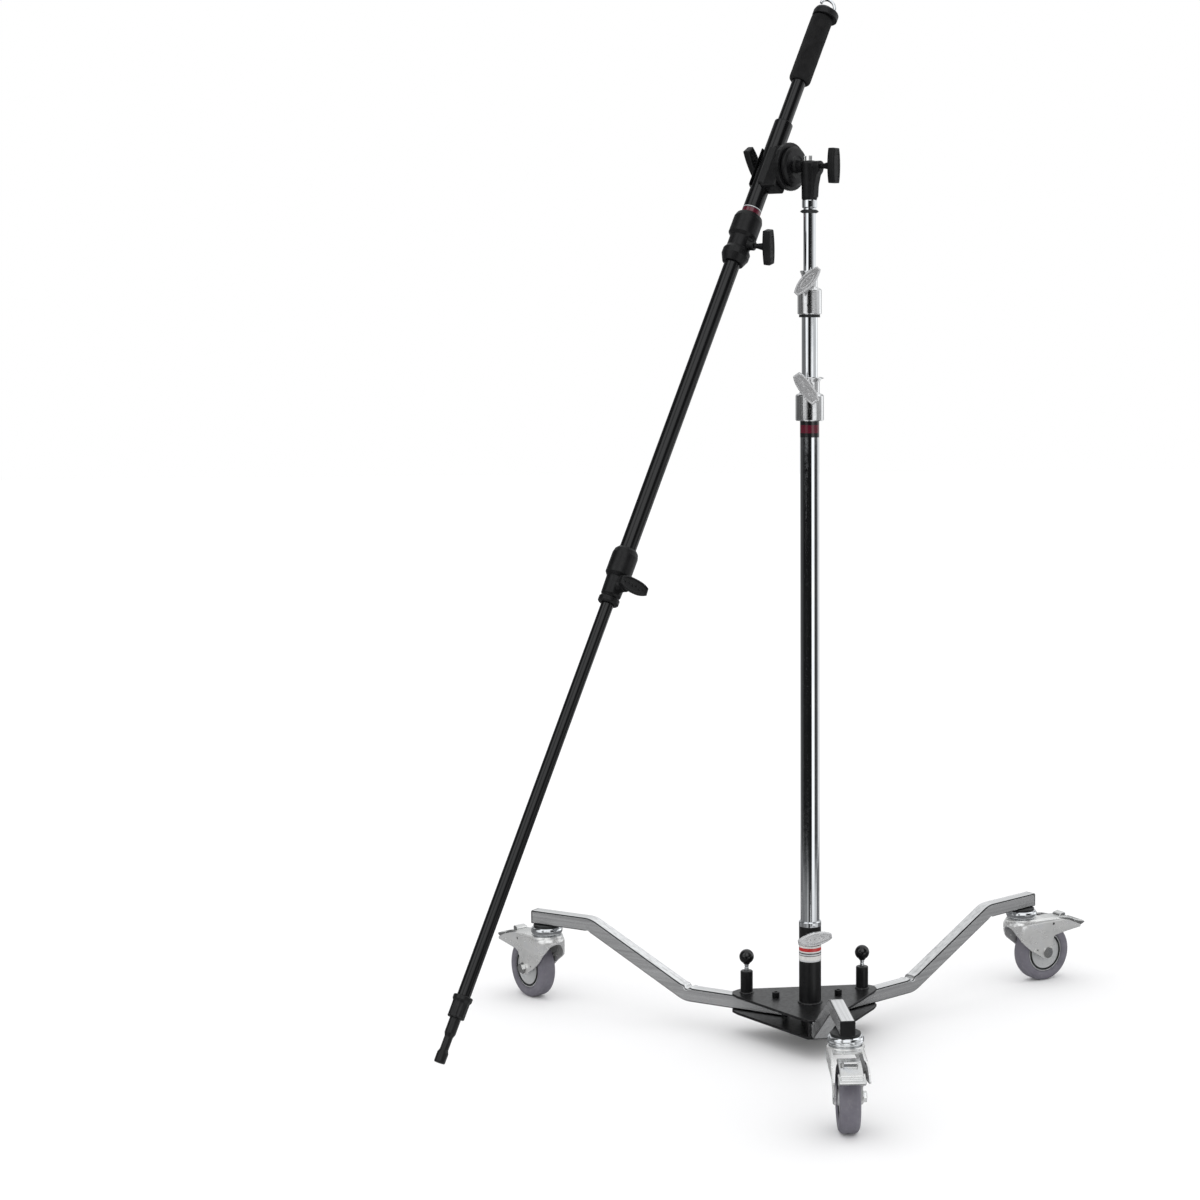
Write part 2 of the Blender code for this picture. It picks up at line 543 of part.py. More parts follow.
tilt = empty("joint_boom_tilt", pan, BOOM_OFFSET, 0, HEAD_Z, turn(BOOM_TILT, "X"))
disc = turned("disc", [(0, -BOOM_OFFSET + 42.4), (36.4, -BOOM_OFFSET + 42.4), (37.6, -BOOM_OFFSET + 41.0), (37.6, -BOOM_OFFSET + 33.4), (0, -BOOM_OFFSET + 33.4)], 24)
place(moved(disc, turn(90, "Y")), "friction_disc", tilt, "black")
saddle = box("saddle", -39.2, -9, -13, 13, -42, 33, 3.0, 1)
grip = cyl("grip", 19.0, -38, 29, ROUND)
opening = box("opening", -6, 12, 8, 30, -60, 60)
bore = cyl("bore", 15.3, -60, 60, ROUND)
boss = moved(cyl("boss", 7.2, 15.0, 20.0, 14), shift(0, 0, 8.0) @ turn(90, "Y"))
join(saddle, grip)
cut(saddle, opening)
join(saddle, boss)
cut(saddle, bore)
place(saddle, "boom_cradle", tilt, "black")
frame = empty("joint_cradle_handle", tilt, 0, 0, 0, shift(20.0 + GAP, 0, 8.0) @ turn(90, "Y") @ turn(-62.5, "Z"))
place(t_handle(10.5), "cradle_handle", frame, "black")

# ---- boom: the frame's -Z runs down the boom, t below is the distance down it ----
slide = empty("joint_boom_slide", tilt)
place(tube("outer", BOOM_R[0], BOOM_RI[0], -150.0, 82.0), "boom_outer_tube", slide, "black")
place(tube("handle", 11.3, 9.6, 40.0, 286.0), "boom_handle_tube", slide, "black")
foam = turned("foam", [(16.4, 285.6), (17.8, 280), (17.8, 168), (15.4, 162.4), (11.6, 162.4), (11.6, 285.6)], ROUND, True)
place(foam, "boom_grip", slide, "foam")
side_dir = Vector((-0.8, -0.6, 0.0))
cap = turned("cap", [(0, 305.4), (9.0, 305.0), (15.4, 302.0), (17.7, 296), (17.7, 286.4), (0, 286.4)], ROUND)
flange = moved(turned("flange", [(0, 299.0), (19.4, 299.0), (20.6, 296.6), (20.6, 286.4), (0, 286.4)], ROUND), Matrix.Translation(side_dir * 3.4 * MM))
join(cap, flange)
hook_path = [(14.0, 299.0), (14.0, 306.5), (12.6, 311), (9.4, 316.4), (4.2, 320.4), (-1.6, 321.8), (-6.4, 320), (-9.6, 316), (-10.2, 313)]
hook = wire("hook", [(side_dir.x * r, side_dir.y * r, h) for r, h in hook_path], 2.7)
seat_hole = moved(cyl("seat", 3.1, 298.7, 330.0, 16), Matrix.Translation(side_dir * 14.0 * MM))
place(cut(cap, seat_hole), "boom_end_cap", slide, "black")
place(hook, "boom_hook", slide, "chrome")

collar = turned("collar", [(16.6, -88.0), (20.6, -91.0), (22.9, -98.0), (22.9, -127.0), (18.4, -131.0), (18.4, -150.0), (21.8, -155.0),
                           (21.8, -164.0), (16.0, -175.6), (12.8, -175.6), (12.8, -150.3), (15.3, -150.3), (15.3, -88.0)], ROUND, True)
boss = moved(cyl("boss", 7.6, 15.6, 27.0, 16), turn(192, "Z") @ shift(0, 0, -140.6) @ turn(90, "Y"))
place(join(collar, boss), "boom_collar_1", slide, "black")
frame = empty("joint_boom_handle_1", slide, 0, 0, 0, turn(192, "Z") @ shift(27.0 + GAP, 0, -140.6) @ turn(90, "Y") @ turn(44, "Z"))
place(t_handle(), "boom_collar_1_handle", frame, "black")

section = empty("joint_boom_mid", slide)
place(tube("mid", BOOM_R[1], BOOM_RI[1], -725.0, -60.0), "boom_mid_tube", section, "black")
collar = turned("collar", [(14.6, -668.6), (17.8, -672.4), (19.6, -679.0), (19.6, -711.0), (15.6, -716.0), (15.0, -743.0), (13.2, -746.0),
                           (15.8, -748.6), (15.8, -755.0), (14.0, -757.0), (9.8, -757.0), (9.8, -725.3), (12.8, -725.3), (12.8, -668.6)], ROUND, True)
boss = moved(cyl("boss", 9.6, 14.2, 26.0, 16), turn(173, "Z") @ shift(0, 0, -727.0) @ turn(90, "Y"))
place(join(collar, boss), "boom_collar_2", section, "black")
frame = empty("joint_boom_knob_2", section, 0, 0, 0, turn(173, "Z") @ shift(26.0 + GAP, 0, -727.0) @ turn(90, "Y") @ turn(95, "Z"))
place(lobed_knob(), "boom_collar_2_knob", frame, "black")

inner = empty("joint_boom_inner", section)
place(tube("inner", BOOM_R[2], BOOM_RI[2], -1354.0, -625.0), "boom_inner_tube", inner, "black")
pin = turned("pin", [(0, -1354.3), (13.8, -1354.3), (13.8, -1361.0), (12.3, -1362.4), (12.3, -1385.0), (7.9, -1385.0), (7.9, -1408.0), (6.0, -1412.0),
                     (6.0, -1430.0), (7.9, -1434.0), (7.9, -1448.6), (0, -1448.6)], ROUND)
place(pin, "boom_pin", inner, "black")

# ---- origin at the bottom centre of the bounding box ----
bpy.context.view_layer.update()
low = Vector((1e9, 1e9, 1e9))
high = -low
for obj in PARTS.objects:
    if obj.type != "MESH":
        continue
    for vertex in obj.data.vertices:
        co = obj.matrix_world @ vertex.co
        low = Vector(map(min, low, co))
        high = Vector(map(max, high, co))
ORIGIN.matrix_local = Matrix.Translation((-(low.x + high.x) / 2, -(low.y + high.y) / 2, -low.z))
bpy.context.view_layer.update()
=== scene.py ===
"""Looks for the rolling boom stand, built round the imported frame. Lengths in the lists are millimetres."""

import json
import math

import bmesh
import bpy
from mathutils import Matrix, Vector, noise


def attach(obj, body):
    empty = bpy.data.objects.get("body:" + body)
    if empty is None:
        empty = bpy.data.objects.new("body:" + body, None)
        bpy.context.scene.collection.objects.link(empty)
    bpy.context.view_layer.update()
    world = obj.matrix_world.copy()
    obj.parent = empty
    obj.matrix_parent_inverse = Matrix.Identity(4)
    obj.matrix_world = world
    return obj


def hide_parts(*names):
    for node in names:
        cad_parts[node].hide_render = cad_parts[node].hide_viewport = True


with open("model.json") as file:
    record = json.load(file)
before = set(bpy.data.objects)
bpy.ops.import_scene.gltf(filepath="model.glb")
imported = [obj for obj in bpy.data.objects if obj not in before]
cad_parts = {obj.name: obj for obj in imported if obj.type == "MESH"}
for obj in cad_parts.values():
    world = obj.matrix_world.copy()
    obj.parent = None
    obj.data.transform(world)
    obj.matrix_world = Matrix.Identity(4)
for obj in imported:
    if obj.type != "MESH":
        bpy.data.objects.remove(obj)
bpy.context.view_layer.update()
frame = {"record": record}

MM = 0.001
BODY = {n: body for body, names in frame["record"]["behaviour"]["bodies"].items() for n in names}

# ---- frames, the same as the frame model's ----
COLUMN = (0.024962, 0.049919)      # column axis in the row frame, metres
HEAD_PAN, HEAD_Z, BOOM_OFFSET, BOOM_TILT = 135.8, 1383.0, 82.0, 30.5
SIDE_ANGLE = 53.6
SWIVELS = {"left": 121.6, "right": 24.5, "front": -93.5}
PIVOT_S, PLUNGER_S, CASTER_INSET = 62.5, 116.6, 24.4
SIDE_START, SIDE_END, FRONT_START, FRONT_END = 45.0, 530.7, 24.0, 415.5
LEG_A, LEG_WALL, LEG_BEND_R, LEG_Z_LOW, LEG_Z_HIGH, LEG_RUN, LEG_TOP_LEN = 22.0, 1.6, 38.0, 49.5, 142.0, 187.0, 113.9
PLATE_TOP, PLATE_LOW = 64.8, 34.2


def shift(x, y, z):
    return Matrix.Translation((x * MM, y * MM, z * MM))


def turn(degrees, axis):
    return Matrix.Rotation(math.radians(degrees), 4, axis)


ORIGIN = Matrix.Translation((COLUMN[0], COLUMN[1], 0.0))
PAN = ORIGIN @ turn(HEAD_PAN, "Z")
TILT = PAN @ shift(BOOM_OFFSET, 0, HEAD_Z) @ turn(BOOM_TILT, "X")


def facing(azimuth, radius, z, bar_angle):
    return ORIGIN @ turn(azimuth, "Z") @ shift(radius, 0, z) @ turn(90, "Y") @ turn(90 + bar_angle, "Z")


def along(azimuth, s):
    return s * math.cos(math.radians(azimuth)), s * math.sin(math.radians(azimuth))


# ---- material building ----
class Look:
    """A node tree with short helpers. Coordinates are the piece's own, in metres."""

    def __init__(self, name):
        self.mat = bpy.data.materials.new(name)
        self.mat.use_nodes = True
        self.tree = self.mat.node_tree
        self.shader = self.tree.nodes["Principled BSDF"]
        self.coords = self.tree.nodes.new("ShaderNodeTexCoord").outputs["Object"]

    def node(self, kind, **values):
        made = self.tree.nodes.new(kind)
        for key, value in values.items():
            if hasattr(made, key):
                setattr(made, key, value)
            else:
                made.inputs[key].default_value = value
        return made

    def link(self, a, b):
        self.tree.links.new(a, b)

    def noise(self, scale, detail=3.0, stretch=None, rough=0.55, distortion=0.0):
        vector = self.coords
        if stretch:
            mapping = self.node("ShaderNodeMapping")
            mapping.inputs["Scale"].default_value = stretch
            self.link(vector, mapping.inputs["Vector"])
            vector = mapping.outputs["Vector"]
        made = self.node("ShaderNodeTexNoise")
        made.inputs["Scale"].default_value = scale
        made.inputs["Detail"].default_value = detail
        made.inputs["Roughness"].default_value = rough
        made.inputs["Distortion"].default_value = distortion
        self.link(vector, made.inputs["Vector"])
        return made.outputs[0]

    def cells(self, scale, feature="F1"):
        made = self.node("ShaderNodeTexVoronoi")
        made.feature = feature
        made.inputs["Scale"].default_value = scale
        self.link(self.coords, made.inputs["Vector"])
        return made.outputs[0]

    def spread(self, value, a, b, c, d):
        made = self.node("ShaderNodeMapRange")
        for key, number in (("From Min", a), ("From Max", b), ("To Min", c), ("To Max", d)):
            made.inputs[key].default_value = number
        self.link(value, made.inputs["Value"])
        return made.outputs["Result"]

    def ramp(self, value, stops, how="LINEAR"):
        made = self.node("ShaderNodeValToRGB")
        made.color_ramp.interpolation = how
        elements = made.color_ramp.elements
        while len(elements) < len(stops):
            elements.new(0.5)
        for element, (place, color) in zip(elements, sorted(stops, key=lambda s: s[0])):
            element.position = place
            element.color = (*color, 1.0)
        self.link(value, made.inputs[0])
        return made.outputs[0]

    def math(self, how, a, b=0.0):
        made = self.node("ShaderNodeMath", operation=how)
        for slot, value in zip(made.inputs, (a, b)):
            if isinstance(value, (int, float)):
                slot.default_value = value
            else:
                self.link(value, slot)
        return made.outputs[0]

    def mix(self, factor, a, b):
        made = self.node("ShaderNodeMix", data_type="RGBA")
        for slot, value in ((made.inputs[0], factor), (made.inputs[6], a), (made.inputs[7], b)):
            if isinstance(value, tuple):
                slot.default_value = (*value, 1.0)
            elif isinstance(value, (int, float)):
                slot.default_value = value
            else:
                self.link(value, slot)
        return made.outputs[2]

    def bump(self, layers):
        """Adds (height output, distance in metres, strength) layers."""
        normal = None
        for height, distance, strength in layers:
            made = self.node("ShaderNodeBump")
            made.inputs["Strength"].default_value = strength
            made.inputs["Distance"].default_value = distance
            self.link(height, made.inputs["Height"])
            if normal is not None:
                self.link(normal, made.inputs["Normal"])
            normal = made.outputs["Normal"]
        self.link(normal, self.shader.inputs["Normal"])

    def edge(self, low, high):
        """1 on outward edges, 0 elsewhere, broken up by noise."""
        geometry = self.node("ShaderNodeNewGeometry")
        worn = self.spread(geometry.outputs["Pointiness"], low, high, 0.0, 1.0)
        return self.math("MULTIPLY", worn, self.spread(self.noise(260, 4), 0.42, 0.62, 0.0, 1.0))

    def set(self, **values):
        for key, value in values.items():
            slot = self.shader.inputs[key.replace("_", " ")]
            if isinstance(value, tuple):
                slot.default_value = (*value, 1.0) if len(value) == 3 else value
            elif isinstance(value, (int, float)):
                slot.default_value = value
            else:
                self.link(value, slot)
        return self


def chrome_look():
    k = Look("look_chrome")
    haze = k.noise(22, 4)
    draw = k.noise(70, 3, (6.0, 6.0, 0.12))
    k.set(Base_Color=k.ramp(haze, [(0.35, (0.80, 0.82, 0.845)), (0.65, (0.86, 0.875, 0.89))]), Metallic=1.0,
          Roughness=k.spread(k.math("MULTIPLY", k.noise(140, 5), draw), 0.12, 0.42, 0.035, 0.10))
    k.bump([(draw, 0.00005, 0.10), (k.noise(900, 3), 0.00002, 0.10)])
    return k.mat


def satin_look():
    k = Look("look_satin_cast")
    k.set(Base_Color=k.ramp(k.noise(60, 5), [(0.3, (0.74, 0.74, 0.745)), (0.7, (0.85, 0.85, 0.855))]), Metallic=1.0,
          Roughness=k.spread(k.noise(240, 5), 0.3, 0.7, 0.10, 0.20))
    k.bump([(k.noise(420, 4), 0.00012, 0.22), (k.noise(1600, 3), 0.00004, 0.25)])
    return k.mat


def knob_look():
    k = Look("look_satin_knob")
    k.set(Base_Color=k.ramp(k.noise(80, 5), [(0.3, (0.60, 0.60, 0.605)), (0.7, (0.76, 0.76, 0.765))]), Metallic=0.72,
          Roughness=k.spread(k.noise(260, 5), 0.3, 0.7, 0.22, 0.36))
    k.bump([(k.noise(420, 4), 0.00016, 0.25), (k.noise(1600, 3), 0.00004, 0.25)])
    return k.mat


def zinc_look():
    k = Look("look_zinc_plate")
    tint = k.ramp(k.noise(34, 5, distortion=0.6), [(0.32, (0.66, 0.665, 0.66)), (0.5, (0.74, 0.74, 0.73)), (0.68, (0.71, 0.72, 0.735))])
    k.set(Base_Color=tint, Metallic=1.0, Roughness=k.spread(k.noise(90, 5), 0.3, 0.7, 0.17, 0.28))
    k.bump([(k.noise(60, 3, (1.0, 1.0, 1.6)), 0.00010, 0.16), (k.noise(1500, 3), 0.00002, 0.16)])
    return k.mat


def fork_look():
    k = Look("look_zinc_fork")
    tint = k.ramp(k.noise(34, 5, distortion=0.6), [(0.32, (0.72, 0.725, 0.72)), (0.5, (0.80, 0.80, 0.79)), (0.68, (0.77, 0.78, 0.795))])
    k.set(Base_Color=tint, Metallic=0.60, Roughness=k.spread(k.noise(90, 5), 0.3, 0.7, 0.19, 0.30))
    k.bump([(k.noise(60, 3, (1.0, 1.0, 1.6)), 0.00010, 0.16), (k.noise(1500, 3), 0.00002, 0.16)])
    return k.mat


def leg_look():
    k = Look("look_leg_chrome")
    streak = k.noise(60, 4, (0.05, 3.2, 3.2))
    haze = k.noise(16, 4)
    tint = k.ramp(streak, [(0.30, (0.60, 0.605, 0.61)), (0.52, (0.76, 0.765, 0.77)), (0.72, (0.86, 0.865, 0.87))])
    split = k.node("ShaderNodeSeparateXYZ")
    k.link(k.coords, split.inputs[0])
    side = k.math("ABSOLUTE", split.outputs[1], 0.0)
    # Painted dark reflection: a near-black line along the tube's four rounded corners, mixed into the base colour.
    corner_dark_reflection = k.math("MULTIPLY", k.spread(side, (LEG_A / 2 - 1.9) * MM, (LEG_A / 2 - 1.4) * MM, 0.0, 1.0), k.spread(side, (LEG_A / 2 - 0.16) * MM, (LEG_A / 2 - 0.04) * MM, 1.0, 0.0))
    k.set(Base_Color=k.mix(corner_dark_reflection, tint, (0.012, 0.012, 0.013)), Metallic=0.80, Roughness=k.spread(k.math("MULTIPLY", haze, streak), 0.10, 0.42, 0.09, 0.22))
    k.bump([(k.noise(9, 2, (0.4, 1.0, 1.0)), 0.0012, 0.12), (streak, 0.00012, 0.25), (k.noise(900, 3), 0.00002, 0.10)])
    return k.mat


def powder_look():
    k = Look("look_powder_black")
    base = k.ramp(k.noise(34, 4), [(0.35, (0.0045, 0.0045, 0.005)), (0.68, (0.008, 0.008, 0.0085))])
    k.set(Base_Color=k.mix(k.edge(0.515, 0.56), base, (0.035, 0.035, 0.036)), Metallic=0.0,
          Roughness=k.spread(k.noise(180, 4), 0.3, 0.7, 0.27, 0.40), Specular_IOR_Level=0.36)
    k.bump([(k.noise(620, 2), 0.00022, 0.16), (k.noise(2600, 2), 0.00008, 0.16)])
    return k.mat


def cast_black_look():
    k = Look("look_cast_black")
    base = k.ramp(k.noise(50, 4), [(0.35, (0.0035, 0.0035, 0.004)), (0.68, (0.007, 0.007, 0.0075))])
    k.set(Base_Color=k.mix(k.edge(0.53, 0.60), base, (0.022, 0.022, 0.023)), Roughness=k.spread(k.noise(220, 4), 0.3, 0.7, 0.30, 0.46), Specular_IOR_Level=0.30)
    k.bump([(k.noise(320, 4), 0.0003, 0.22), (k.noise(1500, 3), 0.0001, 0.22)])
    return k.mat


def moulded_look():
    k = Look("look_moulded_black")
    base = k.ramp(k.noise(45, 3), [(0.35, (0.004, 0.004, 0.0045)), (0.7, (0.008, 0.008, 0.0085))])
    k.set(Base_Color=k.mix(k.edge(0.53, 0.60), base, (0.018, 0.018, 0.019)), Roughness=k.spread(k.noise(300, 4), 0.3, 0.7, 0.34, 0.48), Specular_IOR_Level=0.32)
    k.bump([(k.cells(2400), 0.00008, 0.20), (k.noise(1200, 3), 0.00008, 0.18)])
    return k.mat


def tube_black_look():
    k = Look("look_tube_black")
    k.set(Base_Color=k.ramp(k.noise(26, 4, (3.0, 3.0, 0.5)), [(0.35, (0.003, 0.003, 0.0034)), (0.7, (0.0055, 0.0055, 0.006))]),
          Roughness=k.spread(k.noise(110, 5, (4.0, 4.0, 0.4)), 0.3, 0.7, 0.13, 0.22), Specular_IOR_Level=0.42)
    k.bump([(k.noise(500, 3, (2.0, 2.0, 0.5)), 0.00008, 0.12), (k.noise(2400, 2), 0.00004, 0.12)])
    return k.mat


def gloss_look():
    k = Look("look_gloss_black")
    k.set(Base_Color=k.ramp(k.noise(90, 3), [(0.35, (0.003, 0.003, 0.0035)), (0.7, (0.006, 0.006, 0.0065))]),
          Roughness=k.spread(k.noise(420, 4), 0.3, 0.7, 0.04, 0.10), Specular_IOR_Level=0.5, Coat_Weight=0.15, Coat_Roughness=0.04)
    k.bump([(k.noise(160, 2), 0.00008, 0.10)])
    return k.mat


def foam_look():
    k = Look("look_foam")
    pores = k.cells(900)
    k.set(Base_Color=k.ramp(k.noise(70, 5), [(0.3, (0.006, 0.006, 0.0063)), (0.7, (0.013, 0.013, 0.0133))]),
          Roughness=k.spread(k.noise(500, 3), 0.3, 0.7, 0.82, 0.97), Specular_IOR_Level=0.22, Sheen_Weight=0.02, Sheen_Roughness=0.5)
    k.bump([(pores, 0.0006, 0.55), (k.noise(420, 5), 0.0006, 0.35)])
    return k.mat


def tyre_look():
    k = Look("look_tyre")
    rubber = k.ramp(k.noise(60, 5), [(0.3, (0.125, 0.119, 0.145)), (0.7, (0.160, 0.154, 0.180))])
    dust = k.spread(k.noise(170, 6, rough=0.7), 0.56, 0.74, 0.0, 0.5)
    k.set(Base_Color=k.mix(dust, rubber, (0.24, 0.235, 0.24)), Roughness=k.spread(k.noise(220, 4), 0.3, 0.7, 0.42, 0.62))
    k.bump([(k.noise(380, 4), 0.00025, 0.25), (k.noise(2200, 3), 0.0001, 0.25)])
    return k.mat


def hub_look():
    k = Look("look_hub")
    k.set(Base_Color=k.ramp(k.noise(70, 4), [(0.3, (0.53, 0.54, 0.545)), (0.7, (0.62, 0.63, 0.63))]),
          Roughness=k.spread(k.noise(260, 4), 0.3, 0.7, 0.26, 0.42), Metallic=0.35)
    k.bump([(k.noise(1100, 3), 0.00006, 0.2)])
    return k.mat


def seal_look():
    k = Look("look_seal_rubber")
    k.set(Base_Color=k.ramp(k.noise(120, 3), [(0.3, (0.008, 0.009, 0.010)), (0.7, (0.014, 0.015, 0.016))]),
          Roughness=k.spread(k.noise(400, 4), 0.3, 0.7, 0.4, 0.6))
    k.bump([(k.noise(1400, 3), 0.0001, 0.2)])
    return k.mat


def bead_look():
    k = Look("look_weld_black")
    k.set(Base_Color=k.ramp(k.noise(90, 4), [(0.3, (0.005, 0.005, 0.0055)), (0.7, (0.010, 0.010, 0.0105))]),
          Roughness=k.spread(k.noise(500, 4), 0.3, 0.7, 0.25, 0.4))
    k.bump([(k.noise(700, 4), 0.0003, 0.35)])
    return k.mat


def band_look(name, stripes, blocks, count, low, high, z0, z1, rough=0.16):
    """Printed rings: stripes along the axis, and blocks round it between low and high of its height."""
    k = Look(name)
    split = k.node("ShaderNodeSeparateXYZ")
    k.link(k.coords, split.inputs[0])
    height = k.spread(split.outputs[2], z0 * MM, z1 * MM, 0.0, 1.0)
    color = k.ramp(height, stripes, "CONSTANT")
    around = k.math("FRACT", k.math("MULTIPLY", k.math("ARCTAN2", split.outputs[1], split.outputs[0]), count / math.tau))
    patch = k.ramp(around, blocks, "CONSTANT")
    inside = k.math("MULTIPLY", k.math("GREATER_THAN", height, low), k.math("LESS_THAN", height, high))
    k.set(Base_Color=k.mix(k.spread(k.noise(300, 5), 0.35, 0.75, 0.0, 0.18), k.mix(inside, color, patch), (0.02, 0.018, 0.018)), Roughness=k.spread(k.noise(200, 4), 0.3, 0.7, rough - 0.05, rough + 0.08),
          Coat_Weight=0.4, Coat_Roughness=0.08)
    k.bump([(k.noise(900, 3), 0.00004, 0.15)])
    return k.mat


CHROME, SATIN, KNOB, ZINC, FORK, LEG = chrome_look(), satin_look(), knob_look(), zinc_look(), fork_look(), leg_look()
POWDER, CAST, MOULDED, TUBE = powder_look(), cast_black_look(), moulded_look(), tube_black_look()
GLOSS, FOAM, TYRE, HUB, SEAL, BEAD = gloss_look(), foam_look(), tyre_look(), hub_look(), seal_look(), bead_look()


# ---- mesh building ----
def new_object(name, bm):
    bmesh.ops.recalc_face_normals(bm, faces=bm.faces)
    mesh = bpy.data.meshes.new(name)
    bm.to_mesh(mesh)
    bm.free()
    obj = bpy.data.objects.new(name, mesh)
    bpy.context.scene.collection.objects.link(obj)
    return obj


def soften(points, closed, arc=4):
    """Rounds the corners that carry a radius as their third number."""
    made, count = [], len(points)
    for i, point in enumerate(points):
        here = Vector(point[:2])
        radius = point[2] if len(point) > 2 else 0.0
        if not radius or (not closed and i in (0, count - 1)):
            made.append(tuple(here))
            continue
        back, ahead = Vector(points[i - 1][:2]) - here, Vector(points[(i + 1) % count][:2]) - here
        half = back.angle(ahead, math.pi) / 2
        if half > 1.55:
            made.append(tuple(here))
            continue
        reach = min(radius / math.tan(half), 0.49 * back.length, 0.49 * ahead.length)
        a, b = here + back.normalized() * reach, here + ahead.normalized() * reach
        for k in range(arc + 1):
            t = k / arc
            made.append(tuple(a * (1 - t) ** 2 + here * 2 * t * (1 - t) + b * t * t))
    return made


def lathe(name, profile, steps=64, closed=False, arc=4, wave=None):
    """A turned piece about Z. wave(angle, radius, height) may change the radius."""
    bm = bmesh.new()
    loops = []
    for r, z in soften(profile, closed, arc):
        if r < 1e-6:
            loops.append([bm.verts.new((0, 0, z * MM))])
            continue
        ring = []
        for k in range(steps):
            a = math.tau * k / steps
            rr = wave(a, r, z) if wave else r
            ring.append(bm.verts.new((rr * MM * math.cos(a), rr * MM * math.sin(a), z * MM)))
        loops.append(ring)
    pairs = list(zip(loops, loops[1:])) + ([(loops[-1], loops[0])] if closed else [])
    for a, b in pairs:
        if len(a) == 1 and len(b) == 1:
            continue
        for k in range(steps):
            n = (k + 1) % steps
            if len(a) == 1:
                bm.faces.new((a[0], b[k], b[n]))
            elif len(b) == 1:
                bm.faces.new((a[k], b[0], a[n]))
            else:
                bm.faces.new((a[k], b[k], b[n], a[n]))
    return new_object(name, bm)


def inset(ring, d):
    """A closed ring moved inwards by d."""
    if not d:
        return list(ring)
    made, count = [], len(ring)
    area = sum(ring[i][0] * ring[(i + 1) % count][1] - ring[(i + 1) % count][0] * ring[i][1] for i in range(count))
    sign = 1.0 if area > 0 else -1.0
    for i in range(count):
        p, a, b = Vector(ring[i]), Vector(ring[i - 1]), Vector(ring[(i + 1) % count])
        u, v = (p - a), (b - p)
        if u.length < 1e-9 or v.length < 1e-9:
            made.append(tuple(p))
            continue
        n1, n2 = Vector((-u.y, u.x)).normalized() * sign, Vector((-v.y, v.x)).normalized() * sign
        n = n1 + n2
        if n.length < 1e-6:
            made.append(tuple(p))
            continue
        n.normalize()
        made.append(tuple(p + n * (d / max(0.4, n.dot(n1)))))
    return made


def loft(name, ring, levels, move=None, shrink=False):
    """Stacks a closed outline at (inset, height) levels and caps both ends. shrink scales the outline instead of moving its sides."""
    bm = bmesh.new()
    loops = []
    wide, tall = max(abs(x) for x, y in ring), max(abs(y) for x, y in ring)
    for d, z in levels:
        if shrink:
            flat = [(x * (1 - d / wide), y * (1 - d / tall)) for x, y in ring]
        else:
            flat = inset(ring, d)
        loops.append([bm.verts.new((x * MM, y * MM, z * MM)) for x, y in flat])
    count = len(ring)
    for a, b in zip(loops, loops[1:]):
        for k in range(count):
            n = (k + 1) % count
            bm.faces.new((a[k], b[k], b[n], a[n]))
    bm.faces.new(loops[0])
    bm.faces.new(loops[-1])
    obj = new_object(name, bm)
    if move is not None:
        obj.data.transform(move)
    return obj


def slab(thick, edge=0.8, z0=0.0, steps=3):
    """Levels for loft: a plate with rounded edges."""
    low = [(edge * (1 - math.sin(math.pi / 2 * i / steps)), z0 + edge * (1 - math.cos(math.pi / 2 * i / steps))) for i in range(steps + 1)]
    high = [(d, 2 * z0 + thick - z) for d, z in reversed(low)]
    return low + high


def sweep(name, path, radius, sides=20, tip=True):
    """A round rod along a smooth path of 3-D points, with domed ends."""
    pts = [Vector(p) for p in path]
    dense = []
    for i in range(len(pts) - 1):
        p0, p1, p2, p3 = pts[max(i - 1, 0)], pts[i], pts[i + 1], pts[min(i + 2, len(pts) - 1)]
        for k in range(5):
            t = k / 5
            dense.append(0.5 * ((2 * p1) + (p2 - p0) * t + (2 * p0 - 5 * p1 + 4 * p2 - p3) * t * t + (3 * p1 - p0 - 3 * p2 + p3) * t ** 3))
    dense.append(pts[-1])
    bm = bmesh.new()
    tangent = (dense[1] - dense[0]).normalized()
    normal = tangent.orthogonal().normalized()
    loops = []

    def ring(centre, n, t, r):
        b = t.cross(n)
        return [bm.verts.new((centre + n * r * math.cos(math.tau * k / sides) + b * r * math.sin(math.tau * k / sides)) * MM) for k in range(sides)]

    for i, centre in enumerate(dense):
        t = (dense[min(i + 1, len(dense) - 1)] - dense[max(i - 1, 0)]).normalized()
        normal = (normal - t * normal.dot(t)).normalized()
        if i == 0 and tip:
            for a in (75, 50, 25):
                loops.append(ring(centre - t * radius * math.sin(math.radians(a)) * 0.6, normal, t, radius * math.cos(math.radians(a))))
        loops.append(ring(centre, normal, t, radius))
        if i == len(dense) - 1 and tip:
            for a in (25, 50, 75):
                loops.append(ring(centre + t * radius * math.sin(math.radians(a)) * 0.6, normal, t, radius * math.cos(math.radians(a))))
    for a, b in zip(loops, loops[1:]):
        for k in range(sides):
            n = (k + 1) % sides
            bm.faces.new((a[k], b[k], b[n], a[n]))
    bm.faces.new(loops[0])
    bm.faces.new(loops[-1])
    return new_object(name, bm)


def moved(obj, matrix):
    obj.data.transform(matrix)
    if matrix.determinant() < 0:
        obj.data.flip_normals()
    return obj


def evaluated(obj):
    bpy.context.view_layer.update()
    graph = bpy.context.evaluated_depsgraph_get()
    mesh = bpy.data.meshes.new_from_object(obj.evaluated_get(graph))
    obj.modifiers.clear()
    old, obj.data = obj.data, mesh
    bpy.data.meshes.remove(old)
    return obj


def combine(obj, other, how):
    mod = obj.modifiers.new("shape", "BOOLEAN")
    mod.operation = how
    mod.solver = "EXACT"
    mod.object = other
    evaluated(obj)
    bpy.data.objects.remove(other, do_unlink=True)
    return obj


def join(obj, *others):
    for other in others:
        combine(obj, other, "UNION")
    return obj


def cut(obj, *others):
    for other in others:
        combine(obj, other, "DIFFERENCE")
    return obj


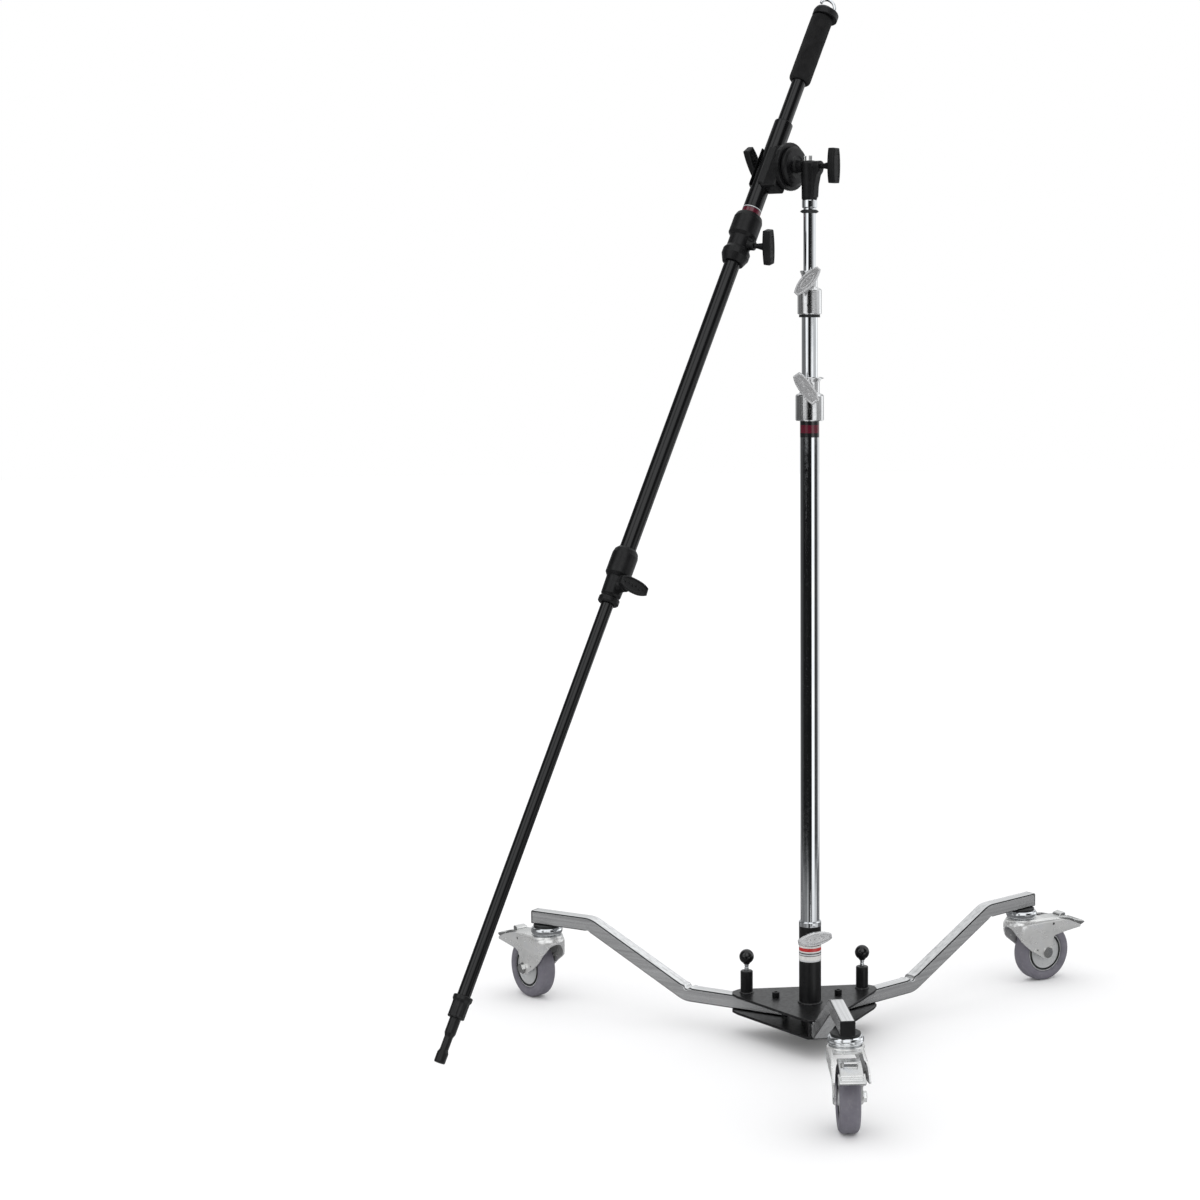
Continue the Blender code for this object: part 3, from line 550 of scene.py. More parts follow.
def soft_cast(obj, voxel, rounds=6, factor=0.5):
    """Turns hard unions into one skin with small fillets, as a casting or a pressing has."""
    mod = obj.modifiers.new("skin", "REMESH")
    mod.mode = "VOXEL"
    mod.voxel_size = voxel * MM
    mod = obj.modifiers.new("even", "SMOOTH")
    mod.iterations = rounds
    mod.factor = factor
    return evaluated(obj)


def rod(name, r, z0, z1, steps=32, edge=0.5):
    return lathe(name, [(0, z1), (r, z1, edge), (r, z0, edge), (0, z0)], steps)


def prism(name, r, z0, z1, sides=6, edge=0.6):
    ring = [(r * math.cos(math.tau * k / sides), r * math.sin(math.tau * k / sides)) for k in range(sides)]
    return loft(name, soften([(x, y, 0.5) for x, y in ring], True, 2), [(d, z) for d, z in slab(z1 - z0, edge, z0, 2)])


def brick(x0, x1, y0, y1, radius, arc=3):
    return soften([(x0, y0, radius), (x1, y0, radius), (x1, y1, radius), (x0, y1, radius)], True, arc)


def circle(x, y, r, count=32):
    return [(x + r * math.cos(math.tau * i / count), y + r * math.sin(math.tau * i / count)) for i in range(count)]


def show(obj, node, matrix, material, name=None, sharp=38.0, weighted=True, replaces=None, level=False):
    """Names a piece, places it, gives it its material and puts it on the body of its frame node."""
    obj.name = name or node + "_detail"
    obj.data.name = obj.name
    obj.data.materials.clear()
    obj.data.materials.append(material)
    obj.data.shade_smooth()
    obj.data.set_sharp_from_angle(angle=math.radians(sharp))
    if weighted:
        mod = obj.modifiers.new("normals", "WEIGHTED_NORMAL")
        mod.keep_sharp = True
        mod.weight = 80
    if level:
        obj.data.transform(matrix)
    else:
        obj.matrix_world = matrix
    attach(obj, BODY[node])
    if replaces is None or replaces:
        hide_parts(*(replaces or [node]))
    return obj


def extra(obj, node, matrix, material, slot, name, **more):
    """A piece that stands for no frame node of its own."""
    obj.name = name
    obj.data.name = name
    obj.data.materials.clear()
    obj.data.materials.append(material)
    obj.data.shade_smooth()
    obj.data.set_sharp_from_angle(angle=math.radians(more.get("sharp", 38.0)))
    mod = obj.modifiers.new("normals", "WEIGHTED_NORMAL")
    mod.keep_sharp = True
    obj.matrix_world = matrix
    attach(obj, BODY[node])
    return obj


# ---- clamp handles ----
def barrel(half_x, half_y, end_y, power, count=26, ripple=0.0):
    """Outline of a handle: flat ends of half height end_y, and crowned long sides."""
    top = []
    for i in range(count + 1):
        x = half_x * math.cos(math.pi * i / count)
        y = end_y + (half_y - end_y) * (1 - abs(x / half_x) ** power)
        if ripple and abs(x) < half_x * 0.72:
            y -= ripple * (0.5 - 0.5 * math.cos(x * math.tau / 4.6)) * (1 - (abs(x) / (half_x * 0.72)) ** 2)
        top.append((x, y))
    ring = top + [(-x, -y) for x, y in top]
    return soften([(x, y, 1.2) if abs(abs(x) - half_x) < 1e-6 else (x, y) for x, y in ring], True, 3)


def t_handle(reach=23.5):
    ring = barrel(27.0, 9.7, 6.9, 2.2)
    bar = loft("bar", ring, [(5.4, -6.0), (4.9, -6.05), (4.5, -6.5), (2.3, -6.5), (1.2, -6.2), (0.45, -5.5), (0.05, -4.4), (0, -3.2), (0, 3.2), (0.05, 4.4),
                             (0.45, 5.5), (1.2, 6.2), (2.3, 6.5), (4.5, 6.5), (4.9, 6.05), (5.4, 6.0)], shift(0, 0, reach), True)
    foot = min(4.0, reach - 8.5)
    stem = lathe("stem", [(0, reach - 2), (7.4, reach - 2), (7.4, reach - 6, 1.0), (6.2, reach - 7.4, 1.2), (3.9, foot, 2.0), (3.9, 0.0, 0.4), (0, 0)] if reach > 15 else
                 [(0, reach - 2), (7.4, reach - 2), (7.4, reach - 6), (3.9, foot, 0.8), (3.9, 0.0, 0.4), (0, 0)], 40)
    join(bar, stem)
    for side in (-1, 1):
        for x in (-17.0, 17.0):
            groove = loft("groove", brick(x - 0.7, x + 0.7, -6.4, 6.4, 0.6), slab(3.0, 0.3, 0.0, 1), shift(0, 0, reach + (5.45 if side > 0 else -8.45)))
            cut(bar, groove)
    return bar


def lobed_knob(kind="wave"):
    """Cast knob, 54 mm long: a raised rim round a recess with a plain raised ornament."""
    ring = barrel(27.0, 10.8, 3.6 if kind == "lens" else 5.6, 2.0 if kind == "lens" else 2.8, 34, 0.5)
    bar = loft("bar", ring, [(3.4, 10.0), (1.6, 10.15), (0.5, 10.8), (0.05, 12.0), (0, 13.0), (0, 16.0), (0.12, 17.4), (0.55, 18.4), (1.15, 18.9), (1.75, 19.0), (2.3, 18.85),
                             (2.7, 18.35), (2.95, 17.6), (3.3, 17.2), (3.9, 17.1), (4.5, 17.1)], None, True)
    stem = lathe("stem", [(0, 12), (8.6, 12), (8.4, 10.6, 1.0), (4.4, 4.0, 2.0), (4.2, 0.0, 0.4), (0, 0)], 36)
    join(bar, stem)
    def lump(x, y, r):
        return moved(lathe("lump", [(0, 18.3), (r * 0.6, 18.15, 0.3), (r, 16.6), (0, 16.6)], 24), shift(x, y, 0))

    if kind == "wave":
        join(bar, *[lump(x, y, r) for x, y, r in ((-18.0, 0.0, 1.5), (-10.5, 1.2, 2.6), (-3.5, -0.9, 2.2), (3.5, 0.9, 2.2), (10.5, -1.2, 2.6), (18.0, 0.0, 1.5))])
    else:
        oval = [(14.5 * math.cos(a), 4.9 * math.sin(a), 17.2) for a in [math.tau * i / 36 for i in range(36)]]
        join(bar, ring_rod("oval", oval, 0.95, 10))
        join(bar, *[lump(x, 0.0, r) for x, r in ((-7.0, 1.7), (0.0, 2.4), (7.0, 1.7))])
    return bar


def ring_rod(name, points, radius, sides):
    """A closed rod through a loop of points that lie level."""
    bm = bmesh.new()
    pts = [Vector(p) for p in points]
    count = len(pts)
    loops = []
    for i, p in enumerate(pts):
        t = (pts[(i + 1) % count] - pts[i - 1]).normalized()
        n = Vector((0, 0, 1))
        b = t.cross(n)
        loops.append([bm.verts.new((p + n * radius * math.cos(math.tau * k / sides) + b * radius * math.sin(math.tau * k / sides)) * MM) for k in range(sides)])
    for i in range(count):
        a, b = loops[i], loops[(i + 1) % count]
        for k in range(sides):
            n = (k + 1) % sides
            bm.faces.new((a[k], b[k], b[n], a[n]))
    return new_object(name, bm)


# ---- base ----
side_dirs = {"left": 90.0 + SIDE_ANGLE, "right": 90.0 - SIDE_ANGLE}
plate_ring = soften([(-104, 92, 7), (-116, 80, 9), (-117.5, 66, 9), (-111, 50, 14), (-17, -101, 4), (17, -101, 4), (111, 50, 14), (117.5, 66, 9), (116, 80, 9), (104, 92, 7)], True, 5)
show(loft("plate", plate_ring, slab(4.0, 0.7, 60.8)), "base_plate_upper", ORIGIN, POWDER)
show(loft("plate", plate_ring, slab(4.0, 0.7, 34.2)), "base_plate_lower", ORIGIN, POWDER)
web_ring = soften([(-15.6, -100.5, 1.2), (-11.4, -100.5, 1.2), (-11.4, -20, 1.5), (11.4, -20, 1.5), (11.4, -100.5, 1.2), (15.6, -100.5, 1.2), (15.6, -6, 3), (-15.6, -6, 3)], True, 3)
show(loft("web", web_ring, slab(22.0, 0.5, 38.5, 2)), "base_web", ORIGIN, POWDER)


def ripple(a, r, z):
    return r + 0.22 * math.sin(a * 26 + z) + 0.12 * math.sin(a * 7 + 1.3)


extra(lathe("bead", [(17.3, 67.6, 0.4), (18.6, 67.0, 1.2), (20.2, 64.9, 0.8), (17.3, 64.9, 0.1)], 240, True, wave=lambda a, r, z: ripple(a, r, z) if r > 18 else r),
      "base_plate_upper", ORIGIN, BEAD, "black", "base_socket_weld")
socket = lathe("socket", [(17.5, 188.0, 0.8), (17.5, 65.1, 0.3), (15.4, 65.1, 0.3), (15.4, 188.0, 0.5)], 80, True)
boss = moved(lathe("boss", [(0, 21.0), (8.0, 21.0, 0.9), (8.0, 16.2), (0, 16.2)], 40), turn(-85, "Z") @ shift(0, 0, 175.0) @ turn(90, "Y"))
show(join(socket, boss), "base_socket", ORIGIN, POWDER)
show(lathe("ring", [(15.4, 196.3, 0.4), (16.9, 196.3, 0.7), (17.7, 195.2, 0.8), (17.7, 188.3, 0.4), (15.4, 188.3, 0.3)], 80, True), "socket_ring", ORIGIN, CHROME)
show(lobed_knob("lens"), "socket_knob", facing(-85, 21.3, 175.0, 9), KNOB)

for side, azimuth in side_dirs.items():
    px, py = along(azimuth, PIVOT_S)
    bolt = lathe("bolt", [(0, 69.6), (2.6, 69.6, 0.2), (2.9, 73.0, 0.3), (5.0, 73.0, 0.5), (5.9, 72.1, 0.6), (5.9, 65.1, 0.2), (4.0, 65.1), (4.0, 33.9), (5.9, 33.9, 0.2), (5.9, 29.6, 0.6), (0, 29.2)], 48)
    show(bolt, f"leg_pivot_bolt_{side}", ORIGIN @ shift(px, py, 0), CAST)
    qx, qy = along(azimuth, PLUNGER_S)
    housing = lathe("housing", [(3.9, 101.0, 0.3), (8.9, 101.0, 0.8), (9.9, 99.8, 0.8), (9.9, 66.4, 0.5), (9.3, 65.1, 0.4), (3.9, 65.1, 0.2)], 64, True)
    show(housing, f"plunger_housing_{side}", ORIGIN @ shift(qx, qy, 0), POWDER)
    extra(lathe("bead", [(9.7, 67.4, 0.4), (11.0, 66.4, 1.0), (12.0, 64.9, 0.6), (9.7, 64.9, 0.1)], 160, True, wave=lambda a, r, z: r + (0.18 * math.sin(a * 17 + z) if r > 10 else 0)),
          "base_plate_upper", ORIGIN @ shift(qx, qy, 0), BEAD, "black", f"plunger_weld_{side}")
    ball = [(0.0, 135.4)] + [(11.7 * math.sin(math.radians(a)), 123.7 + 11.7 * math.cos(math.radians(a))) for a in range(6, 151, 6)]
    ball += [(5.2, 112.6, 0.5), (4.9, 111.6, 0.4), (0.0, 111.6)]
    show(lathe("ball", ball, 64), f"plunger_pin_{side}", ORIGIN @ shift(qx, qy, 0), GLOSS)
    stem = lathe("stem", [(0, 112.0), (3.4, 112.0), (3.4, 108.2, 0.3), (2.9, 107.6, 0.3), (2.9, 106.4, 0.3), (3.4, 105.8, 0.3), (3.4, 62.0, 0.6), (2.4, 61.0, 0.4), (0, 61.0)], 40)
    extra(stem, f"plunger_pin_{side}", ORIGIN @ shift(qx, qy, 0), CHROME, "chrome", f"plunger_stem_{side}")


# ---- legs ----
def leg_line(start, end, step=2.2):
    """Centre line of a leg as (s, z, slope angle, distance from the low bend, from the high bend)."""
    high, low = end - LEG_TOP_LEN, end - LEG_TOP_LEN - LEG_RUN
    slope = math.atan2(LEG_Z_HIGH - LEG_Z_LOW, LEG_RUN)
    reach = LEG_BEND_R * math.tan(slope / 2)
    spans = []
    a, b = (low - reach, LEG_Z_LOW), (low + reach * math.cos(slope), LEG_Z_LOW + reach * math.sin(slope))
    c, d = (high - reach * math.cos(slope), LEG_Z_HIGH - reach * math.sin(slope)), (high + reach, LEG_Z_HIGH)

    def straight(p, q, angle):
        n = max(2, int(math.dist(p, q) / step))
        return [(p[0] + (q[0] - p[0]) * i / n, p[1] + (q[1] - p[1]) * i / n, angle) for i in range(n)]

    spans += straight((start, LEG_Z_LOW), a, 0.0)
    n = 12
    mark_low = len(spans) + n / 2
    for i in range(n):
        t = slope * i / n
        spans.append((a[0] + LEG_BEND_R * math.sin(t), a[1] + LEG_BEND_R * (1 - math.cos(t)), t))
    spans += straight(b, c, slope)
    mark_high = len(spans) + n / 2
    for i in range(n):
        t = slope * (1 - i / n)
        spans.append((d[0] - LEG_BEND_R * math.sin(t), d[1] - LEG_BEND_R * (1 - math.cos(t)), t))
    spans += straight(d, (end, LEG_Z_HIGH), 0.0)
    spans.append((end, LEG_Z_HIGH, 0.0))
    run = [0.0]
    for p, q in zip(spans, spans[1:]):
        run.append(run[-1] + math.dist(p[:2], q[:2]))
    at_low = run[int(mark_low)]
    at_high = run[int(mark_high)]
    return [(s, z, t, run[i] - at_low, run[i] - at_high) for i, (s, z, t) in enumerate(spans)]


def bell(x, width):
    return math.exp(-(x / width) ** 2)


def leg_tube(start, end):
    half = LEG_A / 2

    def section(h, radius, arc, flat):
        """Rounded square as (lateral, normal), with points along the flats too."""
        pts = []
        for cx, cy, a0 in ((1, 1, 0), (-1, 1, 90), (-1, -1, 180), (1, -1, 270)):
            for i in range(arc + 1):
                a = math.radians(a0 + 90 * i / arc)
                pts.append((cx * (h - radius) + radius * math.cos(a), cy * (h - radius) + radius * math.sin(a)))
            p, nx = pts[-1], {0: (-1, 1), 90: (-1, -1), 180: (1, -1), 270: (1, 1)}[a0]
            q = {0: (-(h - radius), h), 90: (-h, -(h - radius)), 180: (h - radius, -h), 270: (h, h - radius)}[a0]
            for i in range(1, flat):
                pts.append((p[0] + (q[0] - p[0]) * i / flat, p[1] + (q[1] - p[1]) * i / flat))
        return pts

    line = leg_line(start, end)
    outer, inner = section(half, 2.3, 4, 8), section(half - LEG_WALL, 1.0, 2, 8)
    bm = bmesh.new()

    def rings(shape, dent):
        made = []
        for s, z, t, u, v in line:
            nx, nz = -math.sin(t), math.cos(t)
            ring = []
            for y, n in shape:
                yy, nn = y, n
                if dent:
                    crown = 1 - 0.55 * abs(y / half) ** 3
                    if n > half * 0.6:
                        nn += (-6.0 * bell(u, 4.2) * crown + 1.9 * bell(abs(u) - 9.0, 3.2) * crown)
                    if abs(y) > half * 0.6:
                        swell = 1.3 * bell(u, 7.0) * max(0.0, (n + half) / (2 * half)) - 0.9 * bell(v, 6.0) * max(0.0, -n / half)
                        yy += math.copysign(swell * (1 - ((n / half) ** 2) * 0.5), y)
                    if n < -half * 0.6:
                        nn += 2.6 * bell(v, 4.6) * crown - 0.4 * bell(abs(v) - 9.0, 3.6) * crown
                ring.append(bm.verts.new(((s + nx * nn) * MM, yy * MM, (z + nz * nn) * MM)))
            made.append(ring)
        return made

    out, inn = rings(outer, True), rings(inner, False)
    for loops in (out, inn):
        count = len(loops[0])
        for a, b in zip(loops, loops[1:]):
            for k in range(count):
                n = (k + 1) % count
                bm.faces.new((a[k], b[k], b[n], a[n]))
    for a, b in ((out[0], inn[0]), (out[-1], inn[-1])):
        edges = [bm.edges.get((ring[k], ring[(k + 1) % len(ring)])) for ring in (a, b) for k in range(len(ring))]
        bmesh.ops.bridge_loops(bm, edges=edges)
    return new_object("leg", bm)


def leg_cap():
    face = brick(-11, 11, -11, 11, 2.3, 4)
    return loft("cap", face, [(2.1, -8.0), (1.9, -7.6), (1.9, 0.0), (0.0, 0.0), (0.0, 1.2), (0.25, 1.9), (0.8, 2.3), (1.6, 2.4), (2.6, 2.42)],
                turn(90, "Y") @ turn(90, "Z"), True)


# ---- casters: +X is the trailing side, the swivel axis is x = y = 0, the floor is z = 0 ----
def race():
    return lathe("race", [(0, 127.5), (21.2, 127.5, 0.4), (23.6, 126.9, 1.4), (25.6, 125.2, 2.4), (26.6, 122.0, 3.4), (26.3, 118.6, 3.0), (24.7, 115.6, 1.6), (23.2, 114.4, 0.5), (23.2, 113.0, 0.3), (22.8, 112.1, 0.2), (0, 112.1)], 96)


def race_neck():
    return lathe("neck", [(0, 130.8), (21.4, 130.8, 0.7), (22.4, 129.8, 0.7), (21.6, 128.9, 0.4), (22.1, 127.9, 0.5), (21.8, 127.1, 0.3), (0, 127.1)], 80)


def hood(name, radius, middle, levels):
    """A block with two flat sides and a round leading end."""
    ring = [(150.0, -radius)] + [(middle + radius * math.cos(a), radius * math.sin(a)) for a in [math.pi * (1.5 - i / 40) for i in range(41)]] + [(150.0, radius)]
    return loft(name, ring, levels)


def fork_blank(name, half_top, half_low, top, side, span=80.0):
    body = loft(name, side, [(0, -span / 2), (0, span / 2)], turn(90, "X"))
    front = soften([(-half_low, 20), (half_low, 20), (half_low, 66, 20), (half_top, 90, 16), (half_top, top), (-half_top, top), (-half_top, 90, 16), (-half_low, 66, 20)], True, 6)
    limits = loft(name + "_width", front, [(0, -200), (0, 200)], turn(90, "Z") @ turn(90, "X"))
    return combine(body, limits, "INTERSECT")


def fork():
    side = soften([(-34, 106.0), (-27.5, 98.0, 10), (-23, 88, 12), (-15, 76, 16), (8, 57, 20), (31, 43.5, 12), (36, 39.6, 6), (48, 39.6, 6), (53, 46, 5), (53, 77, 4), (57, 80.5, 4), (77, 84, 20), (108, 88.5, 1.6), (109.5, 92, 1.6),
                   (86, 102.5, 20), (60, 109.5, 20), (32, 112.4, 10), (-34, 112.4)], True, 6)
    outer = fork_blank("fork", 27.2, 20.4, 130.0, side)
    combine(outer, hood("fork_hood", 27.0, -5.0, [(0, 20), (0, 103.4), (0.25, 105.2), (1.0, 107.2), (2.2, 109.0), (3.9, 110.5), (5.8, 111.4), (7.4, 111.6)]), "INTERSECT")
    hollow = soften([(-60, 30), (150, 30), (150, 130), (36, 130), (36, 108.8), (-60, 108.8)], True, 4)
    inner = fork_blank("fork_hollow", 24.6, 17.8, 140.0, hollow, 90.0)
    combine(inner, hood("fork_hollow_hood", 24.4, -5.0, [(0, 20), (0, 104.0), (0.6, 106.0), (2.4, 108.0), (3.6, 108.8), (3.6, 140.0)]), "INTERSECT")
    cut(outer, inner)
    ring = lathe("ring", [(24.0, 109.6), (24.0, 112.6, 0.3), (24.6, 113.1, 0.4), (26.0, 112.9, 0.6), (26.9, 111.8, 0.8), (27.6, 109.0, 0.5), (26.0, 108.9)], 96, True)
    join(outer, ring)
    for x, z, r in ((50.0, 101.0, 2.2), (20.5, 57.0, 1.7)):
        cut(outer, loft("hole", circle(x, z, r, 28), [(0, -40), (0, 40)], turn(90, "X")))
    return outer


def axle():
    spin = turn(90, "X")
    bolt = lathe("axle", [(0, 24.6), (5.4, 24.6, 0.6), (5.8, 24.0, 0.4), (5.8, -24.0, 0.4), (5.4, -24.6, 0.5), (0, -24.6)], 36)
    head = prism("head", 8.2, 20.8, 25.6, 6, 0.9)
    nut = prism("nut", 8.2, -26.6, -20.8, 6, 0.9)
    washer_a = lathe("washer", [(0, 21.6), (9.6, 21.6, 0.4), (9.6, 20.4, 0.2), (0, 20.4)], 40)
    washer_b = lathe("washer", [(0, -20.4), (9.6, -20.4, 0.2), (9.6, -21.6, 0.4), (0, -21.6)], 40)
    join(bolt, head, nut, washer_a, washer_b)
    return moved(bolt, spin)


def tyre():
    w = 15.5
    half = [(34.3, w - 3.4, 0.3), (36.4, w - 1.2, 1.2), (39.6, w, 2.2), (44.8, w - 0.5, 4.0), (48.6, w - 3.0, 3.6), (50.0, w - 7.0, 3.6)]
    profile = half + [(50.0, 0.5), (49.9, 0.2), (49.9, -0.2), (50.0, -0.5)] + [(r, -z, f) for r, z, f in reversed(half)]
    return moved(lathe("tyre", profile, 128, True), turn(90, "X"))


def hub():
    w = 15.5
    half = [(6.1, w, 0.4), (10.2, w, 0.8), (11.4, w - 1.2, 0.8), (12.4, w - 5.2, 1.4), (17.0, w - 6.2, 1.0), (27.4, w - 6.2, 1.0), (28.6, w - 4.2, 0.8), (31.6, w - 3.4, 0.6), (32.4, w - 4.6, 0.4), (33.2, w - 4.6, 0.4), (34.0, w - 3.9, 0.3)]
    profile = half + [(r, -z, *f) for r, z, *f in reversed(half)]
    return moved(lathe("hub", profile, 96, True), turn(90, "X"))


def bundle(name, *pieces):
    """Overlapping shells as one object, for soft_cast to fuse."""
    bm = bmesh.new()
    for piece in pieces:
        bm.from_mesh(piece.data)
        bpy.data.objects.remove(piece, do_unlink=True)
    return new_object(name, bm)


def pedal():
    """Brake pedal about its pivot: an arched plate, a raised tab and a wide toe pad."""
    across = [(0.8, -0.8), (0.25, -0.25), (0, 0.5)]

    def band(name, side, half):
        levels = [(d, -half + z + 0.8) for d, z in across] + [(d, half - z - 0.8) for d, z in reversed(across)]
        return loft(name, side, levels, turn(90, "X"))

    arm = band("arm", soften([(-5, 1.8, 1), (4, 3.0, 3), (17, 3.5, 1), (17, -0.2, 1), (4, -2.0, 2), (-5, -2.4, 1)], True, 3), 16.5)
    plate = band("pedal", soften([(10, 3.3, 1), (24, 3.3, 8), (40, 1.2, 10), (57, -4.2, 0.6), (57, -7.4, 0.6), (40, -2.2, 10), (24, 0.0, 8), (10, 0.0, 1)], True, 4), 16.5)
    bar = band("bar", soften([(50, -3.4, 0.6), (60, -6.3, 4), (72.6, -9.0, 1.6), (74.3, -11.4, 1.4), (71.6, -13.0, 0.6), (62.6, -17.2, 1.6), (58.0, -17.4, 1.4), (54.4, -12.0, 3), (50, -6.4, 1)], True, 4), 19.4)
    tab = band("tab", soften([(24.6, 1.6, 0.4), (37.2, 0.2, 0.4), (38.6, 7.0, 1.6), (36.0, 8.8, 1.6), (27.4, 7.0, 1.8), (25.0, 4.6, 1)], True, 4), 10.4)
    ribs = [band("rib", brick(x - 0.8, x + 0.8, -7.9 - (x - 60) * 0.28 + 0.2, -7.9 - (x - 60) * 0.28 + 3.2, 0.5, 2), 16.0) for x in (62.6, 66.8)]
    pin = moved(rod("pin", 2.8, -16.5, 16.5, 24), turn(90, "X"))
    return soft_cast(bundle("pedal", plate, arm, bar, tab, pin, *ribs), 0.5, 3, 0.5)


shapes = dict(fork=fork(), tyre=tyre(), hub=hub(), pedal=pedal(), axle=axle(), race=race(), neck=race_neck())
for shape in shapes.values():
    bpy.context.scene.collection.objects.unlink(shape)


def copy(key):
    obj = bpy.data.objects.new(key, shapes[key].data.copy())
    bpy.context.scene.collection.objects.link(obj)
    return obj


def fit_caster(side, leg_matrix, s, azimuth):
    seat = leg_matrix @ shift(s, 0, 0)
    swivel = seat @ turn(SWIVELS[side] - azimuth, "Z")
    show(copy("race"), f"caster_race_{side}", seat, CHROME)
    extra(copy("neck"), f"caster_race_{side}", seat, SEAL, "black", f"caster_neck_{side}")
    show(copy("fork"), f"caster_fork_{side}", swivel, FORK, sharp=50, weighted=False)
    extra(copy("axle"), f"caster_fork_{side}", swivel @ shift(43.0, 0, 50.0), ZINC, "zinc", f"caster_axle_{side}")
    for sign in (-1, 1):
        screw = lathe("screw", [(0, 26.3), (1.0, 26.3, 0.3), (1.3, 25.9, 0.2), (2.5, 25.7, 0.4), (2.5, 23.4), (0, 23.4)], 28)
        extra(moved(screw, turn(-90 * sign, "X")), f"caster_fork_{side}", swivel @ shift(50.0, 0, 101.0), SEAL, "black",
              f"caster_screw_{'near' if sign > 0 else 'far'}_{side}")
    wheel = swivel @ shift(43.0, 0, 50.0)
    show(copy("tyre"), f"caster_tyre_{side}", wheel, TYRE)
    show(copy("hub"), f"caster_hub_{side}", wheel, HUB)
    # Painted shade: the black "rim" ring laid in the hub's groove on each face of the wheel stands in for the shade in
    # that groove.
    for sign in (-1, 1):
        extra(moved(lathe("rim", [(28.9, 12.2, 0.3), (30.6, 12.9, 0.4), (31.9, 12.6, 0.4), (32.2, 11.0), (28.8, 11.0)], 96, True), turn(90 * sign, "X")), f"caster_hub_{side}", wheel, SEAL, "black",
              f"caster_rim_{'near' if sign > 0 else 'far'}_{side}")
    show(copy("pedal"), f"caster_pedal_{side}", swivel @ shift(50.0, 0, 104.6), ZINC, sharp=50, weighted=False)


for side, azimuth in side_dirs.items():
    px, py = along(azimuth, PIVOT_S)
    fold = ORIGIN @ shift(px, py, 0) @ turn(azimuth, "Z")
    show(leg_tube(SIDE_START - PIVOT_S, SIDE_END - 2.7 - PIVOT_S), f"leg_{side}", fold, LEG, sharp=40)
    show(leg_cap(), f"leg_cap_{side}", fold @ shift(SIDE_END - 2.4 - PIVOT_S, 0, LEG_Z_HIGH), MOULDED)
    fit_caster(side, fold, SIDE_END - CASTER_INSET - PIVOT_S, azimuth)
front = ORIGIN @ turn(-90, "Z")
show(leg_tube(FRONT_START, FRONT_END - 2.7), "leg_front", front, LEG, sharp=40)
show(leg_cap(), "leg_cap_front", front @ shift(FRONT_END - 2.4, 0, LEG_Z_HIGH), MOULDED)
fit_caster("front", front, FRONT_END - CASTER_INSET, -90.0)
for shape in shapes.values():
    bpy.data.objects.remove(shape, do_unlink=True)


# ---- column ----
def pipe(name, r_out, r_in, z0, z1, steps=80):
    return lathe(name, [(r_in, z1, 0.3), (r_out, z1, 0.5), (r_out, z0, 0.5), (r_in, z0, 0.3)], steps, True)


show(pipe("lower", 15.0, 13.2, 65.5, 1017.5), "column_lower_tube", ORIGIN, CHROME)


def screw_hole(azimuth, z, r_from, r_to, r=1.5):
    return moved(lathe("hole", [(0, r_to), (r, r_to), (r, r_from), (0, r_from)], 24), turn(azimuth, "Z") @ shift(0, 0, z) @ turn(90, "Y"))


def plug(azimuth, z, radius, r=1.5):
    """A dark set screw sunk in its hole."""
    return moved(lathe("plug", [(0, radius), (0.7, radius), (0.8, radius + 0.5, 0.1), (r - 0.05, radius + 0.5, 0.2), (r - 0.05, radius - 1.5), (0, radius - 1.5)], 24),
                 turn(azimuth, "Z") @ shift(0, 0, z) @ turn(90, "Y"))


z = 987.8
collar = lathe("collar", [(12.8, z + 68, 0.3), (18.7, z + 68, 0.5), (19.4, z + 66.9, 0.6), (18.9, z + 65.4, 0.8), (15.8, z + 60.4, 2.2), (15.7, z + 43.2, 2.4), (20.6, z + 41.0, 1.6), (22.3, z + 38.8, 1.6), (22.3, z + 1.5, 0.8),
                          (21.4, z, 0.5), (15.3, z, 0.4), (15.3, 1017.8), (12.8, 1017.8)], 96, True)
boss = moved(lathe("boss", [(0, 22.0), (8.4, 22.0, 1.2), (8.6, 18.0, 1.0), (9.6, 14.0), (0, 14.0)], 48), turn(-106, "Z") @ shift(0, 0, 1039.0) @ turn(90, "Y"))
join(collar, boss)
cut(collar, screw_hole(259, 1001.2, 19.6, 24.0, 1.6))
lug = ring_rod("lug", [(21.2 + 3.0 * math.cos(a) - 2.0, 2.2 * math.sin(a), 0) for a in [math.tau * i / 28 for i in range(28)]], 1.0, 12)
join(collar, moved(lug, turn(-8, "Z") @ shift(-1.0, 0, 1054.2)))
show(collar, "column_lower_collar", ORIGIN, SATIN)
extra(plug(259, 1001.2, 20.4, 1.6), "column_lower_collar", ORIGIN, SEAL, "black", "column_lower_set_screw")
show(lobed_knob("wave"), "column_lower_knob", facing(-106, 22.3, 1039.0, 125), KNOB)

WHITE, RED, MAROON, INK, SILVER = (0.70, 0.69, 0.67), (0.50, 0.026, 0.024), (0.095, 0.006, 0.018), (0.008, 0.008, 0.009), (0.55, 0.56, 0.57)
column_band = band_look("look_band_column", [(0.0, INK), (0.26, MAROON), (0.76, INK)], [(0.0, MAROON), (1.0, MAROON)], 3.0, 0.60, 0.50, 962.0, 987.4, 0.12)
extra(lathe("band", [(15.02, 987.4), (15.10, 987.4), (15.10, 962.0), (15.02, 962.0)], 96, True), "column_lower_tube", ORIGIN, column_band, "black", "column_band")
socket_band = band_look("look_band_socket", [(0.0, SILVER), (0.10, WHITE), (0.36, INK), (0.40, SILVER), (0.50, INK), (0.57, WHITE)],
                        [(0.0, RED), (1.0, RED)], 5.0, 0.66, 0.88, 133.0, 158.0, 0.14)
